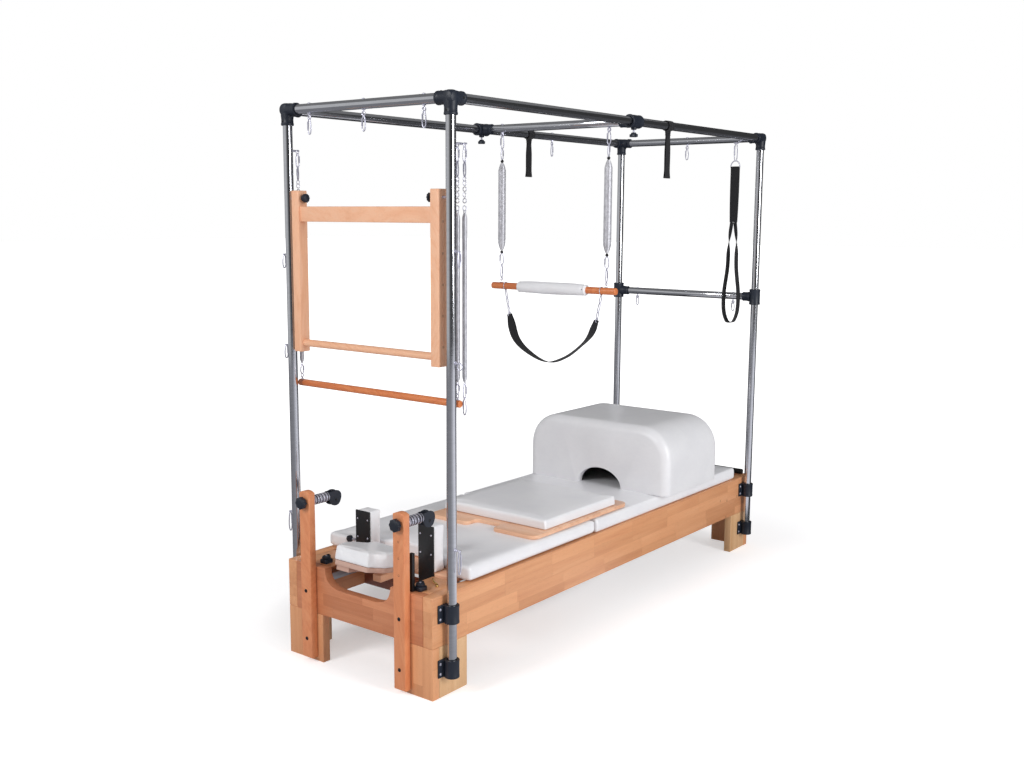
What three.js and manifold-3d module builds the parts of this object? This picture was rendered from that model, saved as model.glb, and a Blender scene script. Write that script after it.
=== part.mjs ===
// Pilates trapeze table: a sliding-carriage table under a canopy of chromed tube.
// Millimetres, +Z up. +X runs from the head end to the foot end, +Y to the left side.
// Everything is placed from the outer face of the base's head end, the middle of its
// width and the floor, and the whole is then moved so that its own middle is at zero.

import * as THREE from 'three';
import { mergeVertices } from 'three/addons/utils/BufferGeometryUtils.js';
import Module from 'manifold-3d';

const wasm = await Module();
wasm.setup();

// Clearances
const seat = 0.3; // between pieces that rest on, or are screwed to, each other
const running = 0.5; // all round a shaft in its bore, or a slide on its rail
const overrun = 3; // by which a cut passes the face that it opens
const weld = 0.0001; // vertices nearer than this are one

// Base
const baseLength = 2441;
const baseWidth = 740;
const railTop = 373;
const railHeight = 184;
const railThickness = 45;
const endRailThickness = 35;
const legReach = 186; // of each arm of the L-shaped legs
const legThickness = 35;
const scoopHalfWidth = 168;
const scoopDepth = 71;
const scoopCorner = 90; // length of the curve at each end of the scoop
const trackWidth = 30;
const trackHeight = 20;
const trackLip = 6;
const trackDrop = 83; // from the rails' top to the tracks' top
const deckThickness = 18; // of the small corner boards behind the head rail
const deckGap = 12; // between them and the platform

// Uprights at the head end, with a clamp bolt and a rope pulley each
const riserWidth = 54;
const riserThickness = 30;
const riserBottom = 18;
const riserTop = 665;
const riserCrown = 8;
const riserOffset = 240; // from the middle to the upright's centre line
const riserBoltInset = 43; // from the upright's top to the bolt
const riserBoltRadius = 8;
const barrelRadius = 17;
const barrelLength = 85;
const barrelRingRadius = 19;
const barrelRings = 2;
const barrelRingLength = 7;
const riserKnobRadius = 24;
const riserKnobLength = 26;
const pulleyWidth = 28;
const pulleyLength = 62;
const pulleyRise = 19; // above the bolt's centre line
const pulleyDrop = 41; // below it
const pulleyNeck = 13;
const pulleyBore = 9;
const pulleyLoopShares = [[0.22, 0.8], [0.45, 1], [0.8, 0.95], [1, 0.3]];

// Canopy tube and its fittings
const tubeRadius = 17.5;
const tubeWall = 2.5;
const postStandoff = 28; // from the base's side to the posts' centre lines
const headPostX = 70;
const footPostInset = 71;
const postBottom = 75;
const canopyTop = 2061; // height of the top tubes' centre lines
const cornerRadius = 24;
const cornerReach = 56; // from the corner's centre to the mouth of each socket
const cornerInset = 27; // from the corner's centre to the end of each tube
const gussetThickness = 9;
const clampHeight = 66;
const clampRadius = 27;
const clampFlangeWidth = 90;
const clampFlangeThickness = 6;
const lowClampHeight = 77; // underside of the lower clamp
const highClampDrop = 31; // from the rails' top to the top of the upper clamp

// Crossbar and mid bar
const crossbarX = 1200;
const slideClampRadius = 27;
const slideClampLength = 76;
const slideSocketRadius = 22.5;
const slideSocketReach = 62;
const crossbarKnobRadius = 19;
const crossbarKnobLength = 14;
const crossbarKnobDrop = 48; // from the tube's centre line to the top of the knob
const knobStemRadius = 4;
const midBarDrop = 771; // from the top tubes' centre lines

// Hooks and hanging rings
const hookStudRadius = 4;
const hookPinRadius = 3;
const hookPinReach = 8;
const ringWall = 3.5;
const ringWidth = 5;

// Springs: real outer sizes, with fewer turns than the real close-wound ones
const trapezeSpringRadius = 17;
const rollSpringRadius = 8.5;
const springWire = 1.8;
const springTurns = 9;

// Trapeze
const trapezeDrop = 691; // from the crossbar's centre line to the bar's
const trapezeHookDrop = 33; // from the crossbar's centre line to the hook pin
const trapezeTopLead = 110; // snap hook and wire above the coil
const trapezeBottomLead = 136.7; // and below it
const trapezeBarLength = 660;
const trapezeBarRadius = 15;
const trapezeSpringInset = 50; // from the bar's end to the spring
const sleeveLength = 366;
const sleeveThickness = 12;
const slingInset = 74; // from the bar's end to the sling's snap hook
const slingEndInset = 96; // from the bar's end to the webbing's end
const slingHookLength = 125; // from the bar's centre line to the webbing's end
const slingDrop = 200;
// Across and down along the sling from its left end to its right end, as it hangs in the photo
const slingShares = [
  [1, 0], [0.84, 0.53], [0.5, 0.84], [0.08, 1], [-0.3, 0.87], [-0.62, 0.62], [-0.86, 0.35], [-1, 0],
];
const webbingWidth = 38;
const webbingThickness = 3;
const slingHookRadius = 4;

// Push-through frame
const pushPivotDrop = 321; // from the top tubes' centre lines
const pushPivotInset = 28; // from the stiles' top
const pushHeight = 596;
const pushGap = 18.5; // between stile and post
const stileWidth = 38;
const stileDepth = 44;
const pushRailDrop = 30; // from the pivot to the rail's top
const pushRailHeight = 55;
const pushRailDepth = 30;
const dowelRise = 33; // from the stiles' bottom
const dowelRadius = 13.5;
const pushKnobRadius = 15;
const pushKnobLength = 20;
const pushBoltRadius = 5;
const pushBoltTip = 9; // by which the bolt passes into the post

// Roll-down bar, its springs and the spare spring
const rollStandoff = 40; // from the posts to the springs
const spareStandoff = 11; // and on to the spare spring
const rollHookDrop = 146; // from the top tubes' centre lines
const rollSpringInset = 6; // inwards from the posts
const spareSpringOutset = 16; // outwards from the post
const rollTopLead = 226; // chain and wire above the coil
const rollBottomLead = 61.7; // and below it
const rollBarHeight = 1044;
const rollBarOverhang = 7; // beyond the posts' centre lines
const rollBarRadius = 13;
const spareTail = 117; // below the coil

// Webbing loops
const leftLoopReach = 353; // from the crossbar towards the foot
const rightLoopReach = 274;
const leftLoopDrop = 197; // from the tube's centre line to the loop's end
const rightLoopDrop = 218;
const loopWidth = 45;
const longLoopStandoff = 42; // from the foot tube towards the head
const longLoopOffset = -289;
const longLoopHookDrop = 21; // from the foot tube's centre line
const longLoopLink = 118; // snap hook and ring above the band
const longLoopBandWidth = 48;
const longLoopBandLength = 266;
const longLoopLength = 496;
const longLoopSpread = 38;
const longLoopWidth = 40;

// Carriage
const platformStart = 201;
const platformLength = 811;
const platformGap = 35; // between platform and side rail
const platformThickness = 20;
const platformRise = 5; // above the rails
const tongueHalfWidth = 22;
const tongueHeight = 28; // below the platform's board
const tongueReach = 98; // ahead of the platform
const tongueRun = 60; // and back beneath it
const propReach = 60; // ahead of the platform
const propDepth = 34;
const padInset = 3; // from the platform's head end
const padLength = 819;
const padThickness = 54;
const padEdge = 7;
const padCrown = 2;
const padDraw = 3;
const padCorner = 10;
const padNotchClear = 6; // round the shoulder rests
const padNotchSlope = 64;
const padMiddleInset = 38; // of the pad's head edge between the shoulder rests
const hangerThickness = 14;
const hangerWidth = 60;
const wheelRadius = 25;
const wheelWidth = 18;
const axleRadius = 6;
const headWheelInset = 119;
const footWheelInset = 112;

// Headrest
const headrestHingeReach = 19; // ahead of the platform
const headrestTilt = 10; // degrees, propped up as stored
const headrestBoard = 18;
const headrestPad = 54;
const headrestHalfWidth = 120;
const headrestNeckHalfWidth = 92;
const headrestFrontHalfWidth = 84.5;
const headrestLength = 218;
const headrestChamferShare = 0.28;
const headrestNeckShares = [0.5, 0.72];

// Shoulder rests
const plateThickness = 6;
const plateInner = 126;
const plateWidth = 75;
const plateDrop = 44; // below the platform's top
const plateRise = 177; // above the platform's top
const shoulderPadThickness = 60;
const shoulderPadCorner = 8;
const shoulderPadDraw = 1;

// Loose pieces
const fillerInset = 146; // from the base's foot end
const boardStart = 615;
const boardLength = 685;
const boardRight = -349;
const boardLeft = 205;
const boardThickness = 16;
const boardCorner = 40;
const notchHalfWidth = 65;
const notchDepth = 66;
const notchRound = 24;
const boardPadHeadInset = 92; // from the board's edges
const boardPadFootInset = 71;
const boardPadRightInset = 13;
const boardPadLeftInset = 4;
const boardPadThickness = 42;
const boxPlaceShare = 0.231; // of the mat beyond the jump board that is ahead of the box
const boxLength = 485;
const boxRight = -409;
const boxLeft = 362;
const boxHeight = 306;
const boxRound = 150;
const boxEdge = 34;
const boxWall = 34;
const archCentre = -45;
const archHalfWidth = 120;
const archHeight = 86;

// Spring bar with the carriage springs
const springBarInset = 381;
const springBarRise = 47; // above the rails' underside
const springBarRadius = 11;
const carriageSpringCount = 4;
const carriageSpringPitch = 110;
const carriageSpringRadius = 13;
const carriageSpringLength = 520;

// Foot bar
const footBarPivotInset = 271; // from the base's foot end
const footBarPivotDrop = 51; // below the rails' top
const footBarBendInset = 86;
const footBarBendDrop = 45;
const footBarRiseInset = 50;
const footBarRiseDrop = 23;
const footBarRestInset = 26;
const footBarGap = 33; // between arms' centre lines and side rails
const footBarGripHalfLength = 345;
const footBarArmRadius = 11;
const footBarGripRadius = 13;
const footBarPinRadius = 7;
const footBarPinReach = 12; // into the side rail

// Faces round each round piece
const tubeSides = 12;
const smallSides = 8;
const wheelSides = 16;
const coilSteps = 8;
const wireSides = 5;
const arcSteps = 5;

// Finishes
const beech = { color: 0xd08a5c, roughness: 0.5, metalness: 0 };
const paleBeech = { color: 0xf0b48c, roughness: 0.5, metalness: 0 };
const orangeBeech = { color: 0xdd7c48, roughness: 0.45, metalness: 0 };
const chrome = { color: 0xd8dade, roughness: 0.12, metalness: 1 };
const blackCasting = { color: 0x171c22, roughness: 0.45, metalness: 0 };
const blackSteel = { color: 0x141618, roughness: 0.4, metalness: 0.3 };
const whiteVinyl = { color: 0xf2f2f4, roughness: 0.45, metalness: 0 };
const greyVinyl = { color: 0xdcdde0, roughness: 0.5, metalness: 0 };
const webbing = { color: 0x15161a, roughness: 0.85, metalness: 0 };
const springSteel = { color: 0x8d8f92, roughness: 0.3, metalness: 1 };
const aluminium = { color: 0xb8bcc0, roughness: 0.35, metalness: 1 };

// Sizes worked out from those above
const halfWidth = baseWidth / 2;
const railBottom = railTop - railHeight;
const railInner = halfWidth - railThickness;
const trackTop = railTop - trackDrop;
const highClampHeight = railTop - highClampDrop - clampHeight;
const riserBoltHeight = riserTop - riserBoltInset;
const riserKnobEnd = -riserThickness - seat * 2 - riserKnobLength;
const barrelStart = seat;

const tubeBore = tubeRadius - tubeWall;
const postOffset = halfWidth + postStandoff;
const footPostX = baseLength - footPostInset;
const canopyUnder = canopyTop - tubeRadius;
const midBarHeight = canopyTop - midBarDrop;

const trapezeHookHeight = canopyTop - trapezeHookDrop;
const trapezeBarHeight = canopyTop - trapezeDrop;
const trapezeCoilTop = trapezeHookHeight - trapezeTopLead;
const trapezeCoilBottom = trapezeBarHeight + trapezeBarRadius + seat + trapezeBottomLead;
const trapezeSpringOffset = trapezeBarLength / 2 - trapezeSpringInset;
const slingOffset = trapezeBarLength / 2 - slingInset;
const slingEndOffset = trapezeBarLength / 2 - slingEndInset;
const slingTop = trapezeBarHeight - slingHookLength;

const pushPivotHeight = canopyTop - pushPivotDrop;
const pushTop = pushPivotHeight + pushPivotInset;
const pushBottom = pushTop - pushHeight;
const pushRailTop = pushPivotHeight - pushRailDrop;
const pushHalfWidth = postOffset - tubeRadius - pushGap;
const dowelHeight = pushBottom + dowelRise;

const rollX = headPostX + rollStandoff;
const spareX = rollX + spareStandoff;
const rollHookHeight = canopyTop - rollHookDrop;
const rollCoilTop = rollHookHeight - rollTopLead;
const rollCoilBottom = rollBarHeight + rollBarRadius + seat + rollBottomLead;
const rollSpringOffset = postOffset - rollSpringInset;
const spareSpringOffset = postOffset + spareSpringOutset;
const rollBarLength = (postOffset + rollBarOverhang) * 2;
const spareHookBottom = rollCoilBottom - spareTail;

const leftLoopX = crossbarX + leftLoopReach;
const rightLoopX = crossbarX + rightLoopReach;
const longLoopX = footPostX - longLoopStandoff;
const longLoopHookHeight = canopyTop - longLoopHookDrop;
const longLoopBandTop = longLoopHookHeight - longLoopLink;
const longLoopSplit = longLoopBandTop - longLoopBandLength;

const platformTop = railTop + platformRise;
const platformEnd = platformStart + platformLength;
const platformHalfWidth = railInner - platformGap;
const headWheelX = platformStart + headWheelInset;
const footWheelX = platformEnd - footWheelInset;
const headrestHinge = platformStart - headrestHingeReach;
const padStart = platformStart + padInset;
const padEnd = padStart + padLength;
const padBottom = platformTop + seat;
const padTop = padBottom + padThickness;
const plateBottom = platformTop - plateDrop;
const plateTop = platformTop + plateRise;

const fillerEnd = baseLength - fillerInset;
const boardEnd = boardStart + boardLength;
const boardBottom = padTop + padCrown + seat;
const boardTop = boardBottom + boardThickness;
const boxStart = boardEnd + (fillerEnd - boardEnd) * boxPlaceShare;
const boxEnd = boxStart + boxLength;
const boxBottom = padTop + padCrown + seat;

const springBarX = baseLength - springBarInset;
const springBarHeight = railBottom + springBarRise;
const footBarPivotX = baseLength - footBarPivotInset;
const footBarPivotHeight = railTop - footBarPivotDrop;
const footBarHalfWidth = railInner - footBarGap;

const middleX = (riserKnobEnd + baseLength) / 2;

const table = new THREE.Group();
table.position.x = -middleX;

// Six times the signed volume is summed over the triangles; a negative one means inside out.
function signedVolume(geometry) {
  const corner = [new THREE.Vector3(), new THREE.Vector3(), new THREE.Vector3()];
  const { index, attributes } = geometry;
  let sum = 0;
  for (let i = 0; i < index.count; i += 3) {
    corner.forEach((point, k) => point.fromBufferAttribute(attributes.position, index.getX(i + k)));
    sum += corner[0].dot(corner[1].clone().cross(corner[2]));
  }
  return sum;
}

// One closed mesh of positions alone, without empty triangles and facing outwards.
function closed(geometry) {
  const bare = new THREE.BufferGeometry();
  bare.setAttribute('position', geometry.attributes.position);
  bare.setIndex(geometry.index);
  const merged = mergeVertices(bare, weld);
  const kept = [];
  for (let i = 0; i < merged.index.count; i += 3) {
    const [a, b, c] = [0, 1, 2].map((k) => merged.index.getX(i + k));
    if (a !== b && b !== c && c !== a) kept.push([a, b, c]);
  }
  merged.setIndex(kept.flat());
  if (signedVolume(merged) < 0) merged.setIndex(kept.map(([a, b, c]) => [a, c, b]).flat());
  return merged;
}

function toManifold(geometry) {
  const mesh = closed(geometry);
  return new wasm.Manifold(new wasm.Mesh({
    numProp: 3,
    vertProperties: new Float32Array(mesh.attributes.position.array),
    triVerts: new Uint32Array(mesh.index.array),
  }));
}

function fromManifold(solid) {
  const mesh = solid.getMesh();
  const geometry = new THREE.BufferGeometry();
  geometry.setAttribute('position', new THREE.BufferAttribute(new Float32Array(mesh.vertProperties), 3));
  geometry.setIndex(Array.from(mesh.triVerts));
  return geometry;
}

function join(...pieces) {
  return fromManifold(pieces.map(toManifold).reduce((sum, piece) => sum.add(piece)));
}

function cut(body, ...tools) {
  return fromManifold(tools.map(toManifold).reduce((rest, tool) => rest.subtract(tool), toManifold(body)));
}

// A block between two corners, each given as [x, y, z].
function block(low, high) {
  const size = high.map((value, i) => value - low[i]);
  const centre = high.map((value, i) => (value + low[i]) / 2);
  return new THREE.BoxGeometry(...size).translate(...centre);
}

// A block whose Y span is mirrored to the given side (1 left, -1 right).
function sideBlock(side, low, high) {
  const ys = [side * low[1], side * high[1]].sort((a, b) => a - b);
  return block([low[0], ys[0], low[2]], [high[0], ys[1], high[2]]);
}

// Moves a shape made along +Z so that it starts at one point and runs towards another.
function along(geometry, start, end) {
  const from = new THREE.Vector3(...start);
  const way = new THREE.Vector3(...end).sub(from).normalize();
  const turn = new THREE.Quaternion().setFromUnitVectors(new THREE.Vector3(0, 0, 1), way);
  return geometry.applyQuaternion(turn).translate(...start);
}

function distance(start, end) {
  return new THREE.Vector3(...start).distanceTo(new THREE.Vector3(...end));
}

function rod(radius, start, end, sides = tubeSides, twist = 0) {
  const length = distance(start, end);
  const bar = new THREE.CylinderGeometry(radius, radius, length, sides).rotateY(twist);
  return along(bar.rotateX(Math.PI / 2).translate(0, 0, length / 2), start, end);
}

// The radius of a bore whose flats clear a shaft of the given radius, however either is
// turned. It is laid half a step round, so that each of its flats faces a corner of the shaft.
function boreRadius(radius, sides) {
  return (radius + running) / Math.cos(Math.PI / sides);
}

function bore(radius, start, end, sides = tubeSides) {
  return rod(boreRadius(radius, sides), start, end, sides, Math.PI / sides);
}

// A solid of revolution from [radius, distance along] points, laid from start towards end.
function turned(profile, start, end, sides = tubeSides, twist = 0) {
  const points = profile.map(([radius, height]) => new THREE.Vector2(radius, height));
  const lathe = new THREE.LatheGeometry(points, sides, twist);
  return along(closed(lathe).rotateX(Math.PI / 2), start, end);
}

function pipe(outer, inner, start, end, sides = tubeSides, twist = 0) {
  const length = distance(start, end);
  const wall = [[inner, 0], [outer, 0], [outer, length], [inner, length], [inner, 0]];
  return turned(wall, start, end, sides, twist);
}

// Shapes drawn in (y, z) and carried along X, and drawn in (z, x) and carried along Y.
function extrudeX(shape, start, end) {
  const solid = new THREE.ExtrudeGeometry(shape, {
    depth: end - start, bevelEnabled: false, curveSegments: arcSteps,
  });
  const turn = new THREE.Matrix4().set(0, 0, 1, start, 1, 0, 0, 0, 0, 1, 0, 0, 0, 0, 0, 1);
  return solid.applyMatrix4(turn);
}

function extrudeY(shape, start, end) {
  const solid = new THREE.ExtrudeGeometry(shape, {
    depth: end - start, bevelEnabled: false, curveSegments: arcSteps,
  });
  const turn = new THREE.Matrix4().set(0, 1, 0, 0, 0, 0, 1, start, 1, 0, 0, 0, 0, 0, 0, 1);
  return solid.applyMatrix4(turn);
}

function extrudeZ(shape, start, end) {
  const solid = new THREE.ExtrudeGeometry(shape, {
    depth: end - start, bevelEnabled: false, curveSegments: arcSteps,
  });
  return solid.translate(0, 0, start);
}

function polygon(points) {
  return new THREE.Shape(points.map(([x, y]) => new THREE.Vector2(x, y)));
}

// A skin over rings of points, closed at both ends by a fan about the end ring's middle.
function loft(rings) {
  const count = rings[0].length;
  const positions = rings.flat().flatMap((point) => [point.x, point.y, point.z]);
  const triangles = [];
  for (let r = 0; r + 1 < rings.length; r += 1) {
    for (let i = 0; i < count; i += 1) {
      const a = r * count + i;
      const b = r * count + ((i + 1) % count);
      triangles.push(a, b, b + count, a, b + count, a + count);
    }
  }
  [[0, 1], [rings.length - 1, -1]].forEach(([r, way]) => {
    const middle = new THREE.Vector3();
    rings[r].forEach((point) => middle.addScaledVector(point, 1 / count));
    const hub = positions.length / 3;
    positions.push(middle.x, middle.y, middle.z);
    for (let i = 0; i < count; i += 1) {
      const pair = [r * count + i, r * count + ((i + 1) % count)];
      if (way > 0) pair.reverse();
      triangles.push(hub, ...pair);
    }
  });
  const geometry = new THREE.BufferGeometry();
  geometry.setAttribute('position', new THREE.Float32BufferAttribute(positions, 3));
  geometry.setIndex(triangles);
  return closed(geometry);
}

// A rectangle's outline with round corners, its long edges drawn in by a little in the middle.
function roundedOutline(x0, x1, y0, y1, radius, draw, edgeSteps, cornerSteps) {
  const corners = [[x1, y1, 0], [x0, y1, 1], [x0, y0, 2], [x1, y0, 3]];
  const arcs = corners.map(([x, y, quarter]) => {
    const cx = x + (x === x0 ? radius : -radius);
    const cy = y + (y === y0 ? radius : -radius);
    return Array.from({ length: cornerSteps + 1 }, (_, i) => {
      const angle = (quarter + i / cornerSteps) * Math.PI / 2;
      return new THREE.Vector2(cx + radius * Math.cos(angle), cy + radius * Math.sin(angle));
    });
  });
  return arcs.flatMap((arc, k) => {
    const from = arc[cornerSteps];
    const to = arcs[(k + 1) % arcs.length][0];
    const way = to.clone().sub(from);
    const inward = new THREE.Vector2(-way.y, way.x).normalize();
    const edge = Array.from({ length: edgeSteps - 1 }, (_, i) => {
      const share = (i + 1) / edgeSteps;
      const point = from.clone().addScaledVector(way, share);
      return point.addScaledVector(inward, draw * Math.sin(Math.PI * share));
    });
    return [...arc, ...edge];
  });
}

// A polygon's corners, each replaced by a short curve that starts a given distance before it.
function roundCorners(corners, radius, steps = 2) {
  const points = corners.map(([x, y]) => new THREE.Vector2(x, y));
  return points.flatMap((corner, i) => {
    const [from, to] = [points.length - 1, 1].map((step) => {
      const next = points[(i + step) % points.length];
      return corner.clone().add(next.clone().sub(corner).setLength(radius));
    });
    return new THREE.QuadraticBezierCurve(from, corner, to).getPoints(steps);
  });
}

// The outline moved inwards by a distance, for one that runs anticlockwise.
function insetOutline(outline, distanceIn) {
  return outline.map((point, i) => {
    const before = outline[(i + outline.length - 1) % outline.length];
    const after = outline[(i + 1) % outline.length];
    const way = after.clone().sub(before).normalize();
    return new THREE.Vector2(point.x - way.y * distanceIn, point.y + way.x * distanceIn);
  });
}

// Round-edged levels of a cushion, as [height, inset]: full edge above, half of it below.
const cushionLevelShares = [[0, 0.55], [0.35, 0.1], [1.1, 0], [2.1, 0.03], [1.0, 0.2], [0.35, 0.6], [0, 1]];
const crownShares = [0.8, 0.5, 0.2];

// A crowned cushion on an anticlockwise outline, from its flat underside to its top edge.
function cushion(outline, bottom, top, edge, crown) {
  const flat = (points, z) => points.map((point) => new THREE.Vector3(point.x, point.y, z));
  const rings = cushionLevelShares.map(([rise, share], i) => {
    const height = i < 3 ? bottom + rise * edge : top - rise * edge;
    return flat(insetOutline(outline, share * edge), height);
  });
  const rim = insetOutline(outline, edge);
  const middle = new THREE.Vector2();
  rim.forEach((point) => middle.addScaledVector(point, 1 / rim.length));
  crownShares.forEach((share) => {
    const ring = rim.map((point) => point.clone().sub(middle).multiplyScalar(share).add(middle));
    rings.push(flat(ring, top + crown * (1 - share * share)));
  });
  return loft(rings);
}

// A flat strip in one plane: its middle line given a thickness, as a closed shape.
function strip(points, thickness) {
  const sides = [1, -1].map((side) => points.map((point, i) => {
    const before = points[Math.max(i - 1, 0)];
    const after = points[Math.min(i + 1, points.length - 1)];
    const way = after.clone().sub(before).normalize();
    return new THREE.Vector2(-way.y, way.x).multiplyScalar(side * thickness / 2).add(point);
  }));
  return new THREE.Shape([...sides[0], ...sides[1].reverse()]);
}

// A hand knob with shallow lobes, laid from start towards end.
function lobedKnob(radius, start, end, lobes = 5) {
  const lobeShare = 0.1;
  const stepsPerLobe = 4;
  const count = lobes * stepsPerLobe;
  const points = Array.from({ length: count }, (_, i) => {
    const angle = i / count * Math.PI * 2;
    const reach = radius * (1 - lobeShare * (1 - Math.cos(lobes * angle)));
    return [reach * Math.cos(angle), reach * Math.sin(angle)];
  });
  return along(extrudeZ(polygon(points), 0, distance(start, end)), start, end);
}

// Centre line of a hanging spring: straight wire, a coil that opens and closes over one
// turn at each end, and straight wire again. Rings of wire round it make one tube.
function springTube(x, y, radius, top, coilTop, coilBottom, bottom) {
  const line = [new THREE.Vector3(x, y, top)];
  const steps = springTurns * coilSteps;
  for (let i = 0; i <= steps; i += 1) {
    const turn = i / coilSteps;
    const opening = Math.min(turn, springTurns - turn, 1);
    const reach = (radius - springWire) * opening;
    const angle = turn * Math.PI * 2;
    const height = coilTop + (coilBottom - coilTop) * i / steps;
    line.push(new THREE.Vector3(x + reach * Math.cos(angle), y + reach * Math.sin(angle), height));
  }
  line.push(new THREE.Vector3(x, y, bottom));
  noteLeastGap(line);
  return sweep(line, springWire, wireSides, new THREE.Vector3(1, 0, 0));
}

// The least clear distance between turns, taken on the centre line's points.
let leastSpringGap = Infinity;
function noteLeastGap(line) {
  const nearTurn = coilSteps / 2;
  line.forEach((point, i) => {
    for (let j = i + nearTurn; j < line.length; j += 1) {
      leastSpringGap = Math.min(leastSpringGap, point.distanceTo(line[j]) - springWire * 2);
    }
  });
}

// A round wire along a line of points, its section turned as little as the line allows.
function sweep(line, radius, around, side) {
  const normal = side.clone();
  const last = line.length - 1;
  const rings = line.map((point, i) => {
    const way = line[Math.min(i + 1, last)].clone().sub(line[Math.max(i - 1, 0)]).normalize();
    normal.addScaledVector(way, -normal.dot(way)).normalize();
    const across = way.clone().cross(normal);
    return Array.from({ length: around }, (_, k) => {
      const angle = k / around * Math.PI * 2;
      return point.clone()
        .addScaledVector(normal, radius * Math.cos(angle))
        .addScaledVector(across, radius * Math.sin(angle));
    });
  });
  return loft(rings);
}

function add(name, geometry, finish, parent = table) {
  const mesh = new THREE.Mesh(closed(geometry), new THREE.MeshStandardMaterial(finish));
  mesh.name = name;
  parent.add(mesh);
  return mesh;
}

const sides = [['right', -1], ['left', 1]];
const ends = [['head', headPostX], ['foot', footPostX]];

// A hook pin along Y on a short stud, for a hanging ring to turn on.
function hook(studStart, studEnd, pinFrom, pinTo) {
  const [x, , z] = studEnd;
  return [
    rod(hookStudRadius, studStart, studEnd, smallSides),
    rod(hookPinRadius, [x, pinFrom, z], [x, pinTo, z], smallSides),
  ];
}

// The ring that hangs on such a pin.
function hangingRing(x, y, z) {
  return pipe(ringReach, ringReach - ringWall, [x, y - ringWidth / 2, z], [x, y + ringWidth / 2, z],
    smallSides, Math.PI / smallSides);
}

const ringReach = boreRadius(hookPinRadius, smallSides) + ringWall;

// Two boards that meet in an L at a corner of the base, with the corner at the given x.
function makeLeg(x, inward, way) {
  const outline = [
    [0, 0], [legReach, 0], [legReach, legThickness],
    [legThickness, legThickness], [legThickness, legReach], [0, legReach],
  ];
  const placed = outline.map(([alongX, acrossY]) => [x + inward * alongX, way * (halfWidth - acrossY)]);
  return extrudeZ(polygon(placed), 0, railBottom - seat);
}

function makeBase() {
  sides.forEach(([side, way]) => {
    const pinHole = bore(footBarPinRadius,
      [footBarPivotX, way * (railInner - overrun), footBarPivotHeight],
      [footBarPivotX, way * (railInner + footBarPinReach + seat), footBarPivotHeight]);
    const rail = sideBlock(way, [0, railInner, railBottom], [baseLength, halfWidth, railTop]);
    add(`side_rail_${side}`, cut(rail, pinHole), beech);
    const trackOuter = railInner - seat;
    const trackInner = trackOuter - trackWidth;
    const track = join(
      sideBlock(way, [endRailThickness + seat, trackInner, trackTop - trackHeight],
        [baseLength - endRailThickness - seat, trackOuter, trackTop]),
      sideBlock(way, [endRailThickness + seat, trackOuter - trackLip, trackTop - trackHeight * 2],
        [baseLength - endRailThickness - seat, trackOuter, trackTop]));
    add(`track_${side}`, track, aluminium);
    add(`leg_head_${side}`, makeLeg(0, 1, way), beech);
    add(`leg_foot_${side}`, makeLeg(baseLength, -1, way), beech);
  });

  // The head rail's outline in (y, z), with a shallow scoop in its top edge.
  const edge = railInner - seat;
  const scoopFlat = scoopHalfWidth - scoopCorner;
  const scoopFloor = railTop - scoopDepth;
  const headRail = new THREE.Shape();
  headRail.moveTo(-edge, railBottom);
  headRail.lineTo(edge, railBottom);
  headRail.lineTo(edge, railTop);
  headRail.lineTo(scoopHalfWidth, railTop);
  headRail.quadraticCurveTo(scoopHalfWidth, scoopFloor, scoopFlat, scoopFloor);
  headRail.lineTo(-scoopFlat, scoopFloor);
  headRail.quadraticCurveTo(-scoopHalfWidth, scoopFloor, -scoopHalfWidth, railTop);
  headRail.lineTo(-edge, railTop);
  const decks = sides.map(([, way]) => sideBlock(way,
    [endRailThickness - overrun, plateInner + plateWidth + padNotchClear, railTop - deckThickness],
    [platformStart - deckGap, edge, railTop]));
  add('end_rail_head', join(extrudeX(headRail, 0, endRailThickness), ...decks), beech);
  add('end_rail_foot', block([baseLength - endRailThickness, -edge, railBottom],
    [baseLength, edge, railTop]), beech);
}

// The steel bar across the rails with the row of close-wound carriage springs hooked to it.
function makeSpringBar() {
  const reach = railInner - seat;
  const pieces = [rod(springBarRadius, [springBarX, -reach, springBarHeight],
    [springBarX, reach, springBarHeight])];
  for (let i = 0; i < carriageSpringCount; i += 1) {
    const y = (i - (carriageSpringCount - 1) / 2) * carriageSpringPitch;
    pieces.push(rod(carriageSpringRadius, [springBarX - carriageSpringLength, y, springBarHeight],
      [springBarX, y, springBarHeight], smallSides));
  }
  add('spring_bar', join(...pieces), springSteel);
}

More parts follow.
